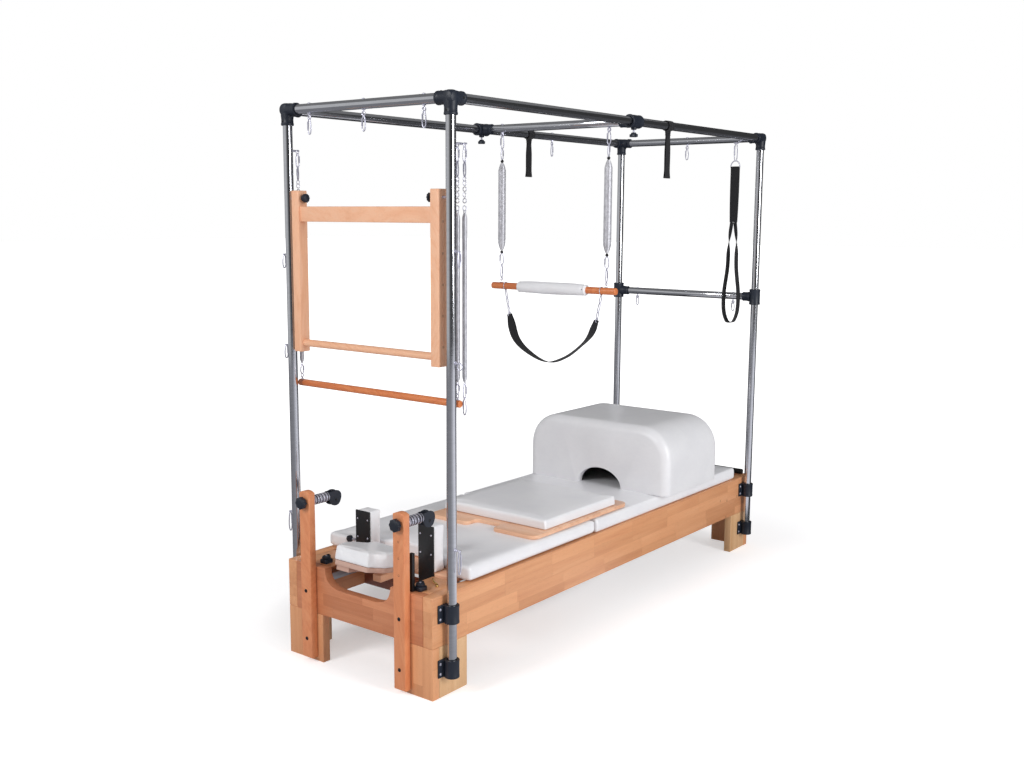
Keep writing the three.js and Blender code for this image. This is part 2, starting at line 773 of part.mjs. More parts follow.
function makeRiser(side, way) {
  const y = way * riserOffset;
  const half = riserWidth / 2;
  const outline = new THREE.Shape();
  outline.moveTo(y - half, riserBottom);
  outline.lineTo(y + half, riserBottom);
  outline.lineTo(y + half, riserTop - riserCrown);
  outline.quadraticCurveTo(y, riserTop + riserCrown, y - half, riserTop - riserCrown);
  const back = -seat;
  const front = back - riserThickness;
  const boltAt = (x) => [x, y, riserBoltHeight];
  const upright = cut(extrudeX(outline, front, back),
    bore(riserBoltRadius, boltAt(front - overrun), boltAt(back + overrun)));
  add(`riser_${side}`, upright, beech);

  // One bolt: knob in front of the upright, shank through it, ringed barrel behind it.
  const barrelEnd = barrelStart + barrelLength;
  const barrelShares = Array.from({ length: barrelRings }, (_, i) => (i + 1) / (barrelRings + 1));
  const ringStart = barrelLength / 2;
  const profile = [[0, 0], [barrelRadius, 0]];
  barrelShares.forEach((share) => {
    const middle = ringStart + share * (barrelLength - ringStart);
    profile.push([barrelRadius, middle - barrelRingLength / 2]);
    profile.push([barrelRingRadius, middle]);
    profile.push([barrelRadius, middle + barrelRingLength / 2]);
  });
  profile.push([barrelRadius, barrelLength], [0, barrelLength]);
  const bolt = join(
    lobedKnob(riserKnobRadius, boltAt(front - seat), boltAt(riserKnobEnd)),
    rod(riserBoltRadius, boltAt(front - overrun), boltAt(barrelStart + overrun)),
    turned(profile, boltAt(barrelStart), boltAt(barrelEnd)),
    rod(pulleyBore - running, boltAt(barrelEnd - overrun), boltAt(barrelEnd + pulleyLength / 3), smallSides));
  add(`riser_bolt_${side}`, bolt, chrome);

  // The pulley's housing hangs below the bolt's end, on which it swivels.
  const start = barrelEnd + seat;
  const above = pulleyLoopShares.map(([way3, share]) => [start + way3 * pulleyLength, share * pulleyRise]);
  const below = pulleyLoopShares.map(([way3, share]) => [start + way3 * pulleyLength, -share * pulleyDrop]);
  const profile2 = [[start, -pulleyNeck], ...below, ...above.reverse(), [start, pulleyNeck]];
  const housing = extrudeY(polygon(profile2.map(([px, pz]) => [riserBoltHeight + pz, px])),
    y - pulleyWidth / 2, y + pulleyWidth / 2);
  add(`pulley_${side}`, cut(housing,
    bore(pulleyBore - running, boltAt(start - overrun),
      boltAt(start + pulleyLength / 3 + running), smallSides)),
  blackCasting);
}

// A post with the two saddle clamps that screw it to the base's side.
function makePost(end, x, side, way) {
  const y = way * postOffset;
  const topEnd = canopyTop - cornerInset;
  const pieces = [rod(tubeRadius, [x, y, postBottom], [x, y, topEnd])];
  [lowClampHeight, highClampHeight].forEach((bottom) => {
    const top = bottom + clampHeight;
    const face = halfWidth + seat;
    pieces.push(rod(clampRadius, [x, y, bottom], [x, y, top]));
    pieces.push(sideBlock(way, [x - clampFlangeWidth / 2, face, bottom],
      [x + clampFlangeWidth / 2, face + clampFlangeThickness, top]));
    pieces.push(sideBlock(way, [x - clampRadius, face, bottom], [x + clampRadius, postOffset, top]));
  });
  const cuts = [
    rod(tubeBore, [x, y, postBottom - overrun], [x, y, topEnd + overrun]),
    sideBlock(way, [x - clampRadius - overrun, halfWidth - clampRadius, 0],
      [x + clampRadius + overrun, halfWidth + seat, highClampHeight + clampHeight + overrun]),
  ];
  if (end === 'head') {
    const studY = way * (rollSpringOffset + spareSpringOffset) / 2;
    pieces.push(...hook([x, studY, rollHookHeight], [rollX, studY, rollHookHeight],
      way * (rollSpringOffset - hookPinReach), studY));
    if (side === 'right') {
      pieces.push(...hook([rollX, studY, rollHookHeight], [spareX, studY, rollHookHeight],
        studY, way * (spareSpringOffset + hookPinReach)));
    }
    cuts.push(bore(pushBoltRadius, [x, way * (postOffset - tubeRadius - overrun), pushPivotHeight],
      [x, way * postOffset, pushPivotHeight], smallSides));
  }
  add(`post_${end}_${side}`, cut(join(...pieces), ...cuts), chrome);
}

// A three-way corner: sockets down the post, along the side and across, with two gussets.
function makeCorner(end, x, side, way) {
  const y = way * postOffset;
  const inward = end === 'head' ? 1 : -1;
  const centre = [x, y, canopyTop];
  const mouths = [
    [x, y, canopyTop - cornerReach],
    [x + inward * cornerReach, y, canopyTop],
    [x, y - way * cornerReach, canopyTop],
  ];
  const backs = [
    [x, y, canopyTop + cornerRadius],
    [x - inward * cornerRadius, y, canopyTop],
    [x, y + way * cornerRadius, canopyTop],
  ];
  const reach = cornerReach - overrun;
  const down = canopyTop - reach;
  const gussetX = polygon([[canopyTop, x], [canopyTop, x + inward * reach], [down, x]]);
  const gussetY = polygon([[y, canopyTop], [y - way * reach, canopyTop], [y, down]]);
  const half = gussetThickness / 2;
  const hub = join(
    ...mouths.map((mouth, i) => rod(cornerRadius, backs[i], mouth)),
    extrudeY(gussetX, y - half, y + half),
    extrudeX(gussetY, x - half, x + half));
  const inset = cornerInset - seat;
  const bores = mouths.map((mouth) => {
    const way3 = new THREE.Vector3(...mouth).sub(new THREE.Vector3(...centre)).normalize();
    const from = new THREE.Vector3(...centre).addScaledVector(way3, inset);
    const to = new THREE.Vector3(...mouth).addScaledVector(way3, overrun);
    return bore(tubeRadius, from.toArray(), to.toArray());
  });
  add(`corner_${end}_${side}`, cut(hub, ...bores), blackCasting);
}

function makeCanopyTubes() {
  sides.forEach(([side, way]) => {
    const y = way * postOffset;
    add(`top_tube_${side}`, pipe(tubeRadius, tubeBore,
      [headPostX + cornerInset, y, canopyTop], [footPostX - cornerInset, y, canopyTop]), chrome);
  });
  const reach = postOffset - cornerInset;
  add('top_tube_head', pipe(tubeRadius, tubeBore,
    [headPostX, -reach, canopyTop], [headPostX, reach, canopyTop]), chrome);

  // The foot tube carries the hook of the long loop, on its inner side.
  const tube = rod(tubeRadius, [footPostX, -reach, canopyTop], [footPostX, reach, canopyTop]);
  const studY = longLoopOffset - hookPinReach;
  const pieces = hook([footPostX, studY, canopyTop - tubeRadius / 2],
    [longLoopX, studY, longLoopHookHeight], studY - hookStudRadius, longLoopOffset + hookPinReach);
  add('top_tube_foot', cut(join(tube, ...pieces), rod(tubeBore,
    [footPostX, -reach - overrun, canopyTop], [footPostX, reach + overrun, canopyTop])), chrome);
}

// A tube across the frame with a clamp at each end that slides on the tube or post there.
// railAxis is 0 for a rail along X and 2 for one along Z.
function slidingBar(centre, railAxis) {
  const reach = postOffset - cornerInset;
  const at = (y, shift = 0) => {
    const point = [centre[0], y, centre[2]];
    point[railAxis] += shift;
    return point;
  };
  const pieces = [rod(tubeRadius, at(-reach), at(reach))];
  const cuts = [];
  sides.forEach(([, way]) => {
    const y = way * postOffset;
    const half = slideClampLength / 2;
    pieces.push(rod(slideClampRadius, at(y, -half), at(y, half)));
    pieces.push(rod(slideSocketRadius, at(y), at(y - way * slideSocketReach)));
    cuts.push(bore(tubeRadius, at(y, -half - overrun), at(y, half + overrun)));
  });
  return { pieces, cuts };
}

function makeCrossbar() {
  const { pieces, cuts } = slidingBar([crossbarX, 0, canopyTop], 0);
  sides.forEach(([side, way]) => {
    const y = way * postOffset;
    const tip = [crossbarX, y, canopyUnder - running - seat];
    const foot = [crossbarX, y, canopyTop - crossbarKnobDrop];
    cuts.push(bore(knobStemRadius, [crossbarX, y, canopyTop - slideClampRadius - overrun], tip, smallSides));
    const knobEnd = [crossbarX, y, canopyTop - crossbarKnobDrop - crossbarKnobLength];
    add(`crossbar_knob_${side}`, join(rod(knobStemRadius, tip, [foot[0], foot[1], foot[2] - seat], smallSides),
      lobedKnob(crossbarKnobRadius, foot, knobEnd, 4)), blackCasting);
    const stud = way * (trapezeSpringOffset + hookPinReach);
    pieces.push(...hook([crossbarX, stud, canopyTop], [crossbarX, stud, trapezeHookHeight],
      stud + way * hookStudRadius, way * (trapezeSpringOffset - hookPinReach)));
  });
  add('crossbar', cut(join(...pieces), ...cuts), chrome);
}

function makeMidBar() {
  const { pieces, cuts } = slidingBar([footPostX, 0, midBarHeight], 2);
  add('mid_bar', cut(join(...pieces), ...cuts), chrome);
}

function makeTrapeze() {
  sides.forEach(([side, way]) => {
    const y = way * trapezeSpringOffset;
    const ring = hangingRing(crossbarX, y, trapezeHookHeight);
    const spring = springTube(crossbarX, y, trapezeSpringRadius, trapezeHookHeight - ringReach + ringWall / 2,
      trapezeCoilTop, trapezeCoilBottom, trapezeBarHeight + trapezeBarRadius + seat);
    add(`trapeze_spring_${side}`, join(ring, spring), springSteel);
  });
  const half = trapezeBarLength / 2;
  const round = trapezeBarRadius / 3;
  add('trapeze_bar', turned([
    [0, 0], [trapezeBarRadius - round, 0], [trapezeBarRadius, round],
    [trapezeBarRadius, trapezeBarLength - round], [trapezeBarRadius - round, trapezeBarLength],
    [0, trapezeBarLength],
  ], [crossbarX, -half, trapezeBarHeight], [crossbarX, half, trapezeBarHeight]), paleBeech);

  // The sleeve: a padded tube, a little fuller in the middle.
  const inner = (trapezeBarRadius + seat) / Math.cos(Math.PI / tubeSides);
  const endShare = 0.6;
  const edgeShare = 0.4;
  const full = trapezeBarRadius + sleeveThickness;
  const end = trapezeBarRadius + sleeveThickness * endShare;
  const edge = sleeveThickness * edgeShare;
  add('trapeze_sleeve', turned([
    [inner, 0], [end - edge, 0], [end, edge], [full, sleeveLength / 2],
    [end, sleeveLength - edge], [end - edge, sleeveLength], [inner, sleeveLength], [inner, 0],
  ], [crossbarX, -sleeveLength / 2, trapezeBarHeight], [crossbarX, sleeveLength / 2, trapezeBarHeight]),
  whiteVinyl);

  // The sling: webbing in a deep curve between two hooks under the bar's ends.
  const curve = new THREE.SplineCurve(slingShares.map(([across, down]) => new THREE.Vector2(
    across * slingEndOffset, slingTop - down * slingDrop)));
  const steps = 22;
  const webStrip = extrudeX(strip(curve.getPoints(steps), webbingThickness),
    crossbarX - webbingWidth / 2, crossbarX + webbingWidth / 2);
  const hooks = sides.map(([, way]) => rod(slingHookRadius,
    [crossbarX, way * slingOffset, trapezeBarHeight - trapezeBarRadius - seat * 3],
    [crossbarX, way * slingEndOffset, slingTop - webbingThickness], smallSides));
  add('trapeze_sling', join(webStrip, ...hooks), webbing);
}

function makePushThrough() {
  const x0 = headPostX - stileDepth / 2;
  const x1 = headPostX + stileDepth / 2;
  const inner = pushHalfWidth - stileWidth;
  const railX = headPostX - pushRailDepth / 2;
  const pieces = [
    block([railX, -inner - overrun, pushRailTop - pushRailHeight],
      [railX + pushRailDepth, inner + overrun, pushRailTop]),
    rod(dowelRadius, [headPostX, -inner - overrun, dowelHeight], [headPostX, inner + overrun, dowelHeight]),
  ];
  const cuts = [];
  sides.forEach(([side, way]) => {
    pieces.push(sideBlock(way, [x0, inner, pushBottom], [x1, pushHalfWidth, pushTop]));
    const at = (y) => [headPostX, way * y, pushPivotHeight];
    cuts.push(bore(pushBoltRadius, at(inner - overrun), at(pushHalfWidth + overrun), smallSides));
    const knobFace = inner - seat;
    add(`push_knob_${side}`, join(
      lobedKnob(pushKnobRadius, at(knobFace), at(knobFace - pushKnobLength)),
      rod(pushBoltRadius, at(knobFace - overrun), at(postOffset - tubeRadius + pushBoltTip), smallSides)),
    blackCasting);
  });
  add('push_through_frame', cut(join(...pieces), ...cuts), paleBeech);
}

function makeRollDown() {
  const half = rollBarLength / 2;
  const round = rollBarRadius / 3;
  add('roll_down_bar', turned([
    [0, 0], [rollBarRadius - round, 0], [rollBarRadius, round],
    [rollBarRadius, rollBarLength - round], [rollBarRadius - round, rollBarLength], [0, rollBarLength],
  ], [rollX, -half, rollBarHeight], [rollX, half, rollBarHeight]), orangeBeech);
  const hung = (x, y, bottom) => join(hangingRing(x, y, rollHookHeight), springTube(x, y,
    rollSpringRadius, rollHookHeight - ringReach + ringWall / 2, rollCoilTop, rollCoilBottom, bottom));
  sides.forEach(([side, way]) => {
    add(`roll_down_spring_${side}`, hung(rollX, way * rollSpringOffset,
      rollBarHeight + rollBarRadius + seat), springSteel);
  });
  add('spare_spring', hung(spareX, -spareSpringOffset, spareHookBottom), springSteel);
}

// A doubled band of webbing that hangs from a ring of itself round a top tube.
function makeTubeLoop(side, way, x, drop) {
  const y = way * postOffset;
  const inner = boreRadius(tubeRadius, tubeSides);
  const outer = inner + webbingThickness;
  const from = [x - loopWidth / 2, y, canopyTop];
  const to = [x + loopWidth / 2, y, canopyTop];
  const band = block([from[0], y - webbingThickness, canopyTop - drop],
    [to[0], y + webbingThickness, canopyTop - inner - webbingThickness / 2]);
  add(`tube_loop_${side}`, join(pipe(outer, inner, from, to, tubeSides, Math.PI / tubeSides), band), webbing);
}

function makeLongLoop() {
  const y = longLoopOffset;
  const loopShares = [[0, 0], [0.35, 0.2], [0.5, 0.45], [0.95, 0.7], [0.95, 0.88], [0.5, 0.985], [0, 1]];
  const rightSide = loopShares.map(([across, down]) => new THREE.Vector2(
    y - across * longLoopSpread, longLoopSplit - down * longLoopLength));
  const leftSide = loopShares.slice(1, -1).reverse().map(([across, down]) => new THREE.Vector2(
    y + across * longLoopSpread, longLoopSplit - down * longLoopLength));
  const end = new THREE.Vector2(y + webbingThickness / 2, longLoopSplit);
  const curve = new THREE.SplineCurve([...rightSide, ...leftSide, end]);
  const steps = 30;
  const half = longLoopWidth / 2;
  const loop = extrudeX(strip(curve.getPoints(steps), webbingThickness), longLoopX - half, longLoopX + half);
  const bandHalf = longLoopBandWidth / 2;
  const band = block([longLoopX - webbingThickness, y - bandHalf, longLoopSplit - overrun],
    [longLoopX + webbingThickness, y + bandHalf, longLoopBandTop]);
  const link = rod(hookStudRadius, [longLoopX, y, longLoopBandTop - overrun],
    [longLoopX, y, longLoopHookHeight - ringReach + ringWall / 2], smallSides);
  add('long_loop', join(hangingRing(longLoopX, y, longLoopHookHeight), link, band, loop), webbing);
}

function makeCarriage() {
  const bottom = platformTop - platformThickness;
  const axleHeight = trackTop + seat + wheelRadius;
  const wheelOuter = railInner - seat - trackLip - running * 2;
  const wheelInner = wheelOuter - wheelWidth;
  const hangerOuter = wheelInner - running * 2;
  const pieces = [
    block([platformStart, -platformHalfWidth, bottom], [platformEnd, platformHalfWidth, platformTop]),
    block([platformStart - tongueReach, -tongueHalfWidth, bottom - tongueHeight],
      [platformStart + tongueRun, tongueHalfWidth, bottom + overrun]),
  ];
  const cuts = [];
  [headWheelX, footWheelX].forEach((x) => {
    sides.forEach(([, way]) => {
      pieces.push(sideBlock(way,
        [x - hangerWidth / 2, hangerOuter - hangerThickness, axleHeight - axleRadius * 2],
        [x + hangerWidth / 2, hangerOuter, bottom + overrun]));
      cuts.push(bore(axleRadius, [x, way * (hangerOuter - hangerThickness - overrun), axleHeight],
        [x, way * (hangerOuter + overrun), axleHeight], smallSides));
    });
  });

  // The prop that holds the headrest up stands on the tongue.
  const tilt = THREE.MathUtils.degToRad(headrestTilt);
  const propBack = platformStart - propReach + propDepth;
  const propTop = platformTop + seat + (headrestHinge - propBack) * Math.tan(tilt) - seat / Math.cos(tilt);
  pieces.push(block([platformStart - propReach, -tongueHalfWidth, bottom],
    [propBack, tongueHalfWidth, propTop]));
  add('carriage_platform', cut(join(...pieces), ...cuts), beech);

  [['head', headWheelX], ['foot', footWheelX]].forEach(([end, x]) => {
    const parts = [rod(axleRadius, [x, -wheelOuter, axleHeight], [x, wheelOuter, axleHeight], smallSides)];
    sides.forEach(([, way]) => parts.push(rod(wheelRadius, [x, way * wheelInner, axleHeight],
      [x, way * wheelOuter, axleHeight], wheelSides)));
    add(`wheel_set_${end}`, join(...parts), blackSteel);
  });

  // The pad's head edge steps back behind the shoulder rests, and further between them.
  const notchX = platformStart - seat * 2 + shoulderPadThickness + padNotchClear;
  const notchY = plateInner + plateWidth + padNotchClear;
  const headEdge = [[padStart, halfWidth], [padStart, notchY + padNotchSlope], [notchX, notchY],
    [notchX, plateInner], [notchX + padMiddleInset, plateInner - padMiddleInset]];
  const padOutline = roundCorners([[padEnd, halfWidth], ...headEdge,
    ...headEdge.map(([x, y]) => [x, -y]).reverse(), [padEnd, -halfWidth]], padCorner);
  add('carriage_pad', cushion(padOutline, padBottom, padTop, padEdge, padCrown), whiteVinyl);
}

// Board and pad in one, drawn flat about its hinge line and then tilted up.
function makeHeadrest() {
  const front = -headrestLength;
  const chamfer = front * (1 - headrestChamferShare);
  const [shoulder, neck] = headrestNeckShares.map((share) => front * (1 - share));
  const half = [
    [0, headrestNeckHalfWidth], [neck, headrestNeckHalfWidth], [shoulder, headrestHalfWidth],
    [chamfer, headrestHalfWidth], [front, headrestFrontHalfWidth],
  ];
  const outline = [...half, ...half.map(([x, y]) => [x, -y]).reverse()];
  const points = outline.map(([x, y]) => new THREE.Vector2(x, y));
  const board = extrudeZ(polygon(outline), 0, headrestBoard);
  const pad = cushion(insetOutline(points, seat), headrestBoard - seat,
    headrestBoard + headrestPad, padEdge, padCrown);
  const group = new THREE.Group();
  group.position.set(headrestHinge, 0, platformTop + seat);
  group.rotation.y = THREE.MathUtils.degToRad(headrestTilt);
  table.add(group);
  add('headrest', join(board, pad), whiteVinyl, group);
}

// A steel plate screwed to the platform's front edge, with a pad behind its upper part.
function makeShoulderRest(side, way) {
  const back = platformStart - seat;
  const ys = [way * plateInner, way * (plateInner + plateWidth)].sort((a, b) => a - b);
  const plate = block([back - plateThickness, ys[0], plateBottom], [back, ys[1], plateTop]);
  const outline = roundedOutline(...ys, padBottom, plateTop, shoulderPadCorner,
    shoulderPadDraw, 2, 1);
  const pad = cushion(outline, 0, shoulderPadThickness - padCrown, padEdge / 2, padCrown);
  const upright = new THREE.Matrix4().set(
    0, 0, 1, back - seat, 1, 0, 0, 0, 0, 1, 0, 0, 0, 0, 0, 1);
  add(`shoulder_rest_${side}`, join(plate, pad.applyMatrix4(upright)), blackSteel);
}

function makeLoosePieces() {
  const fillerOutline = roundedOutline(padEnd + seat * 4, fillerEnd, -halfWidth, halfWidth,
    padCorner, padDraw, 4, 2);
  add('filler_mat', cushion(fillerOutline, railTop + seat, padTop, padEdge, padCrown), whiteVinyl);

  // The jump board, with a hand notch in its near edge, drawn anticlockwise in (x, y).
  const middle = (boardLeft + boardRight) / 2;
  const notchEnd = boardStart + notchDepth;
  const board = new THREE.Shape();
  board.moveTo(boardStart + boardCorner, boardRight);
  board.lineTo(boardEnd - boardCorner, boardRight);
  board.quadraticCurveTo(boardEnd, boardRight, boardEnd, boardRight + boardCorner);
  board.lineTo(boardEnd, boardLeft - boardCorner);
  board.quadraticCurveTo(boardEnd, boardLeft, boardEnd - boardCorner, boardLeft);
  board.lineTo(boardStart + boardCorner, boardLeft);
  board.quadraticCurveTo(boardStart, boardLeft, boardStart, boardLeft - boardCorner);
  board.lineTo(boardStart, middle + notchHalfWidth + notchRound);
  board.quadraticCurveTo(boardStart, middle + notchHalfWidth, boardStart + notchRound, middle + notchHalfWidth);
  board.lineTo(notchEnd - notchRound, middle + notchHalfWidth);
  board.quadraticCurveTo(notchEnd, middle + notchHalfWidth, notchEnd, middle + notchHalfWidth - notchRound);
  board.lineTo(notchEnd, middle - notchHalfWidth + notchRound);
  board.quadraticCurveTo(notchEnd, middle - notchHalfWidth, notchEnd - notchRound, middle - notchHalfWidth);
  board.lineTo(boardStart + notchRound, middle - notchHalfWidth);
  board.quadraticCurveTo(boardStart, middle - notchHalfWidth, boardStart, middle - notchHalfWidth - notchRound);
  board.lineTo(boardStart, boardRight + boardCorner);
  board.quadraticCurveTo(boardStart, boardRight, boardStart + boardCorner, boardRight);
  add('jump_board', extrudeZ(board, boardBottom, boardTop), paleBeech);

  const topOutline = roundedOutline(boardStart + boardPadHeadInset, boardEnd - boardPadFootInset,
    boardRight + boardPadRightInset, boardLeft - boardPadLeftInset, padCorner, padDraw, 4, 2);
  add('jump_board_pad', cushion(topOutline, boardTop + seat, boardTop + seat + boardPadThickness,
    padEdge, padCrown), whiteVinyl);
}

// The sitting box: padded, hollow and open below, with an arch through both long sides.
function makeSittingBox() {
  const top = boxBottom + boxHeight;
  const profile = (shrink) => {
    const right = boxRight + shrink;
    const left = boxLeft - shrink;
    const round = boxRound - shrink;
    const lift = top - shrink;
    const arc = (cx, start) => Array.from({ length: arcSteps + 1 }, (_, i) => {
      const angle = start + i / arcSteps * Math.PI / 2;
      return [cx + round * Math.cos(angle), lift - round + round * Math.sin(angle)];
    });
    return [[right, boxBottom], [left, boxBottom], ...arc(left - round, 0), ...arc(right + round, Math.PI / 2)];
  };
  const ring = (shrink, x) => profile(shrink).map(([y, z]) => new THREE.Vector3(x, y, z));
  const edgeAngles = [0, 1, 2, 3].map((i) => i / 3 * Math.PI / 2);
  const near = edgeAngles.map((angle) => ring(boxEdge * (1 - Math.sin(angle)),
    boxStart + boxEdge * (1 - Math.cos(angle))));
  const far = edgeAngles.map((angle) => ring(boxEdge * (1 - Math.sin(angle)),
    boxEnd - boxEdge * (1 - Math.cos(angle)))).reverse();
  const shell = loft([...near, ...far]);
  const hollow = loft([ring(boxWall, boxStart + boxWall), ring(boxWall, boxEnd - boxWall)]);
  const mouth = block([boxStart + boxWall, boxRight + boxWall, boxBottom - overrun],
    [boxEnd - boxWall, boxLeft - boxWall, boxBottom + overrun]);
  const arch = new THREE.Shape();
  arch.moveTo(archCentre - archHalfWidth, boxBottom - overrun);
  arch.lineTo(archCentre + archHalfWidth, boxBottom - overrun);
  arch.absellipse(archCentre, boxBottom, archHalfWidth, archHeight, 0, Math.PI, false);
  add('sitting_box', cut(shell, hollow, mouth,
    extrudeX(arch, boxStart - overrun, boxEnd + overrun)), greyVinyl);
}

// The foot bar, folded down: two bent arms between the rails and a grip that rests on them.
function makeFootBar() {
  const restHeight = railTop + seat + footBarGripRadius;
  const footBarRestX = baseLength - footBarRestInset;
  const round = footBarGripRadius / 3;
  const length = footBarGripHalfLength * 2;
  const pieces = [turned([
    [0, 0], [footBarGripRadius - round, 0], [footBarGripRadius, round],
    [footBarGripRadius, length - round], [footBarGripRadius - round, length], [0, length],
  ], [footBarRestX, -footBarGripHalfLength, restHeight], [footBarRestX, footBarGripHalfLength, restHeight])];
  sides.forEach(([, way]) => {
    const y = way * footBarHalfWidth;
    const arm = [
      [footBarPivotX - footBarArmRadius, footBarPivotHeight], [footBarPivotX, footBarPivotHeight],
      [baseLength - footBarBendInset, railTop - footBarBendDrop],
      [baseLength - footBarRiseInset, railTop - footBarRiseDrop],
      [baseLength - footBarRiseInset, restHeight - round], [footBarRestX, restHeight],
    ];
    const line = arm.map(([x, z]) => new THREE.Vector3(x, y, z));
    pieces.push(sweep(line, footBarArmRadius, smallSides, new THREE.Vector3(0, 1, 0)));
    pieces.push(rod(footBarPinRadius, [footBarPivotX, y, footBarPivotHeight],
      [footBarPivotX, way * (railInner + footBarPinReach), footBarPivotHeight]));
  });
  add('foot_bar', join(...pieces), blackSteel);
}

makeBase();
makeSpringBar();
sides.forEach(([side, way]) => makeRiser(side, way));
ends.forEach(([end, x]) => sides.forEach(([side, way]) => {
  makePost(end, x, side, way);
  makeCorner(end, x, side, way);
}));
makeCanopyTubes();
makeCrossbar();
makeMidBar();
makeTrapeze();
makePushThrough();
makeRollDown();
makeTubeLoop('left', 1, leftLoopX, leftLoopDrop);
makeTubeLoop('right', -1, rightLoopX, rightLoopDrop);
makeLongLoop();
makeCarriage();
makeHeadrest();
sides.forEach(([side, way]) => makeShoulderRest(side, way));
makeLoosePieces();
makeSittingBox();
makeFootBar();

console.log(`least gap between the turns of a spring: ${leastSpringGap.toFixed(2)} mm`);

export default table;
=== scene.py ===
import math
import bpy
import bmesh
import numpy as np
from mathutils import Matrix


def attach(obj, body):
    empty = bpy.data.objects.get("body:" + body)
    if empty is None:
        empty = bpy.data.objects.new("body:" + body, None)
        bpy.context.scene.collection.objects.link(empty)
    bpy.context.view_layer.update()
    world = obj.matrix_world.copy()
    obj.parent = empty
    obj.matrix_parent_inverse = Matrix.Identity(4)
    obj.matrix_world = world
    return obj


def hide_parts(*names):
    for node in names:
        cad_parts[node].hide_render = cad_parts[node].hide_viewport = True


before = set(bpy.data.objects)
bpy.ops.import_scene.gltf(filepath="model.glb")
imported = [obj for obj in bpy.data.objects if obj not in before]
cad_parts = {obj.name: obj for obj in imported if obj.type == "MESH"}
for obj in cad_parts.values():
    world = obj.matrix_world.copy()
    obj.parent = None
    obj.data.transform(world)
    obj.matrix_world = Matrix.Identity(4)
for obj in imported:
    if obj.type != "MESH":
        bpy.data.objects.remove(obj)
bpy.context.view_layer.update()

# Lengths below are millimetres in the table's own frame: x from the outer face of the
# base's head end, y from the middle, z from the floor. toRow turns them into the row's metres.
middleX = 1192.2
canopyTop = 2061
crossbarX = 1200
midBarZ = 1290
postY = 398
postX = {"head": 70, "foot": 2370}
tubeRadius = 17.5
cushionTop = 434.6  # where the jump board and the box lie
sides = {"right": -1, "left": 1}
alongX, alongY, alongZ = (1, 0, 0), (0, 1, 0), (0, 0, 1)


def toRow(points):
    return (np.asarray(points, float) - (middleX, 0, 0)) / 1000


def stage(message):
    print("scene:", message, flush=True)


def linear(colour, gain=1.0):
    # an sRGB colour given as 0 to 255 values, made brighter by the gain and turned into the
    # linear values that shaders use
    c = np.minimum(np.asarray(colour, float) * gain, 255) / 255
    return tuple(np.where(c <= 0.04045, c / 12.92, ((c + 0.055) / 1.055) ** 2.4)) + (1.0,)


def mathsNode(operation, swapped=False):
    # a method that adds one Math node for a value and perhaps a second one
    def apply(self, other=None):
        return self.maths(operation, other, self) if swapped else self.maths(operation, self, other)
    return apply


class Value:
    # wraps an output socket, so that an expression on values adds its Math nodes
    def __init__(self, nodes, socket):
        self.nodes, self.socket = nodes, socket

    def maths(self, operation, first, second=None):
        return self.nodes.node("ShaderNodeMath", {0: first} if second is None else {0: first, 1: second},
                               operation=operation)

    __add__ = mathsNode("ADD")
    __radd__ = mathsNode("ADD", True)
    __sub__ = mathsNode("SUBTRACT")
    __rsub__ = mathsNode("SUBTRACT", True)
    __mul__ = mathsNode("MULTIPLY")
    __rmul__ = mathsNode("MULTIPLY", True)
    __truediv__ = mathsNode("DIVIDE")
    __gt__ = mathsNode("GREATER_THAN")
    __lt__ = mathsNode("LESS_THAN")
    floor = mathsNode("FLOOR")
    fract = mathsNode("FRACT")
    sine = mathsNode("SINE")
    absolute = mathsNode("ABSOLUTE")
    root = mathsNode("SQRT")
    angle = mathsNode("ARCTAN2")
    maximum = mathsNode("MAXIMUM")
    minimum = mathsNode("MINIMUM")

    def clamp(self):
        return self.maximum(0.0).minimum(1.0)


class Nodes:
    # adds nodes to a material or to the world
    def __init__(self, owner):
        owner.use_nodes = True
        self.tree = owner.node_tree

    def node(self, kind, values=None, out=0, stops=(), **settings):
        new = self.tree.nodes.new(kind)
        for key, value in settings.items():
            setattr(new, key, value)
        while stops and len(new.color_ramp.elements) < len(stops):
            new.color_ramp.elements.new(0.5)
        for index, (place, colour) in enumerate(stops):
            new.color_ramp.elements[index].position = place
            new.color_ramp.elements[index].color = colour
        for key, value in (values or {}).items():
            self.feed(new.inputs[key], value)
        return Value(self, new.outputs[out]) if new.outputs else None

    def feed(self, socket, value):
        if isinstance(value, Value):
            self.tree.links.new(value.socket, socket)
        else:
            socket.default_value = value

    def seen(self):
        # one for camera, glossy and transmission rays, and nought for all others
        camera, glossy, through = [self.node("ShaderNodeLightPath", out=f"Is {kind} Ray")
                                   for kind in ("Camera", "Glossy", "Transmission")]
        return camera.maximum(glossy).maximum(through)


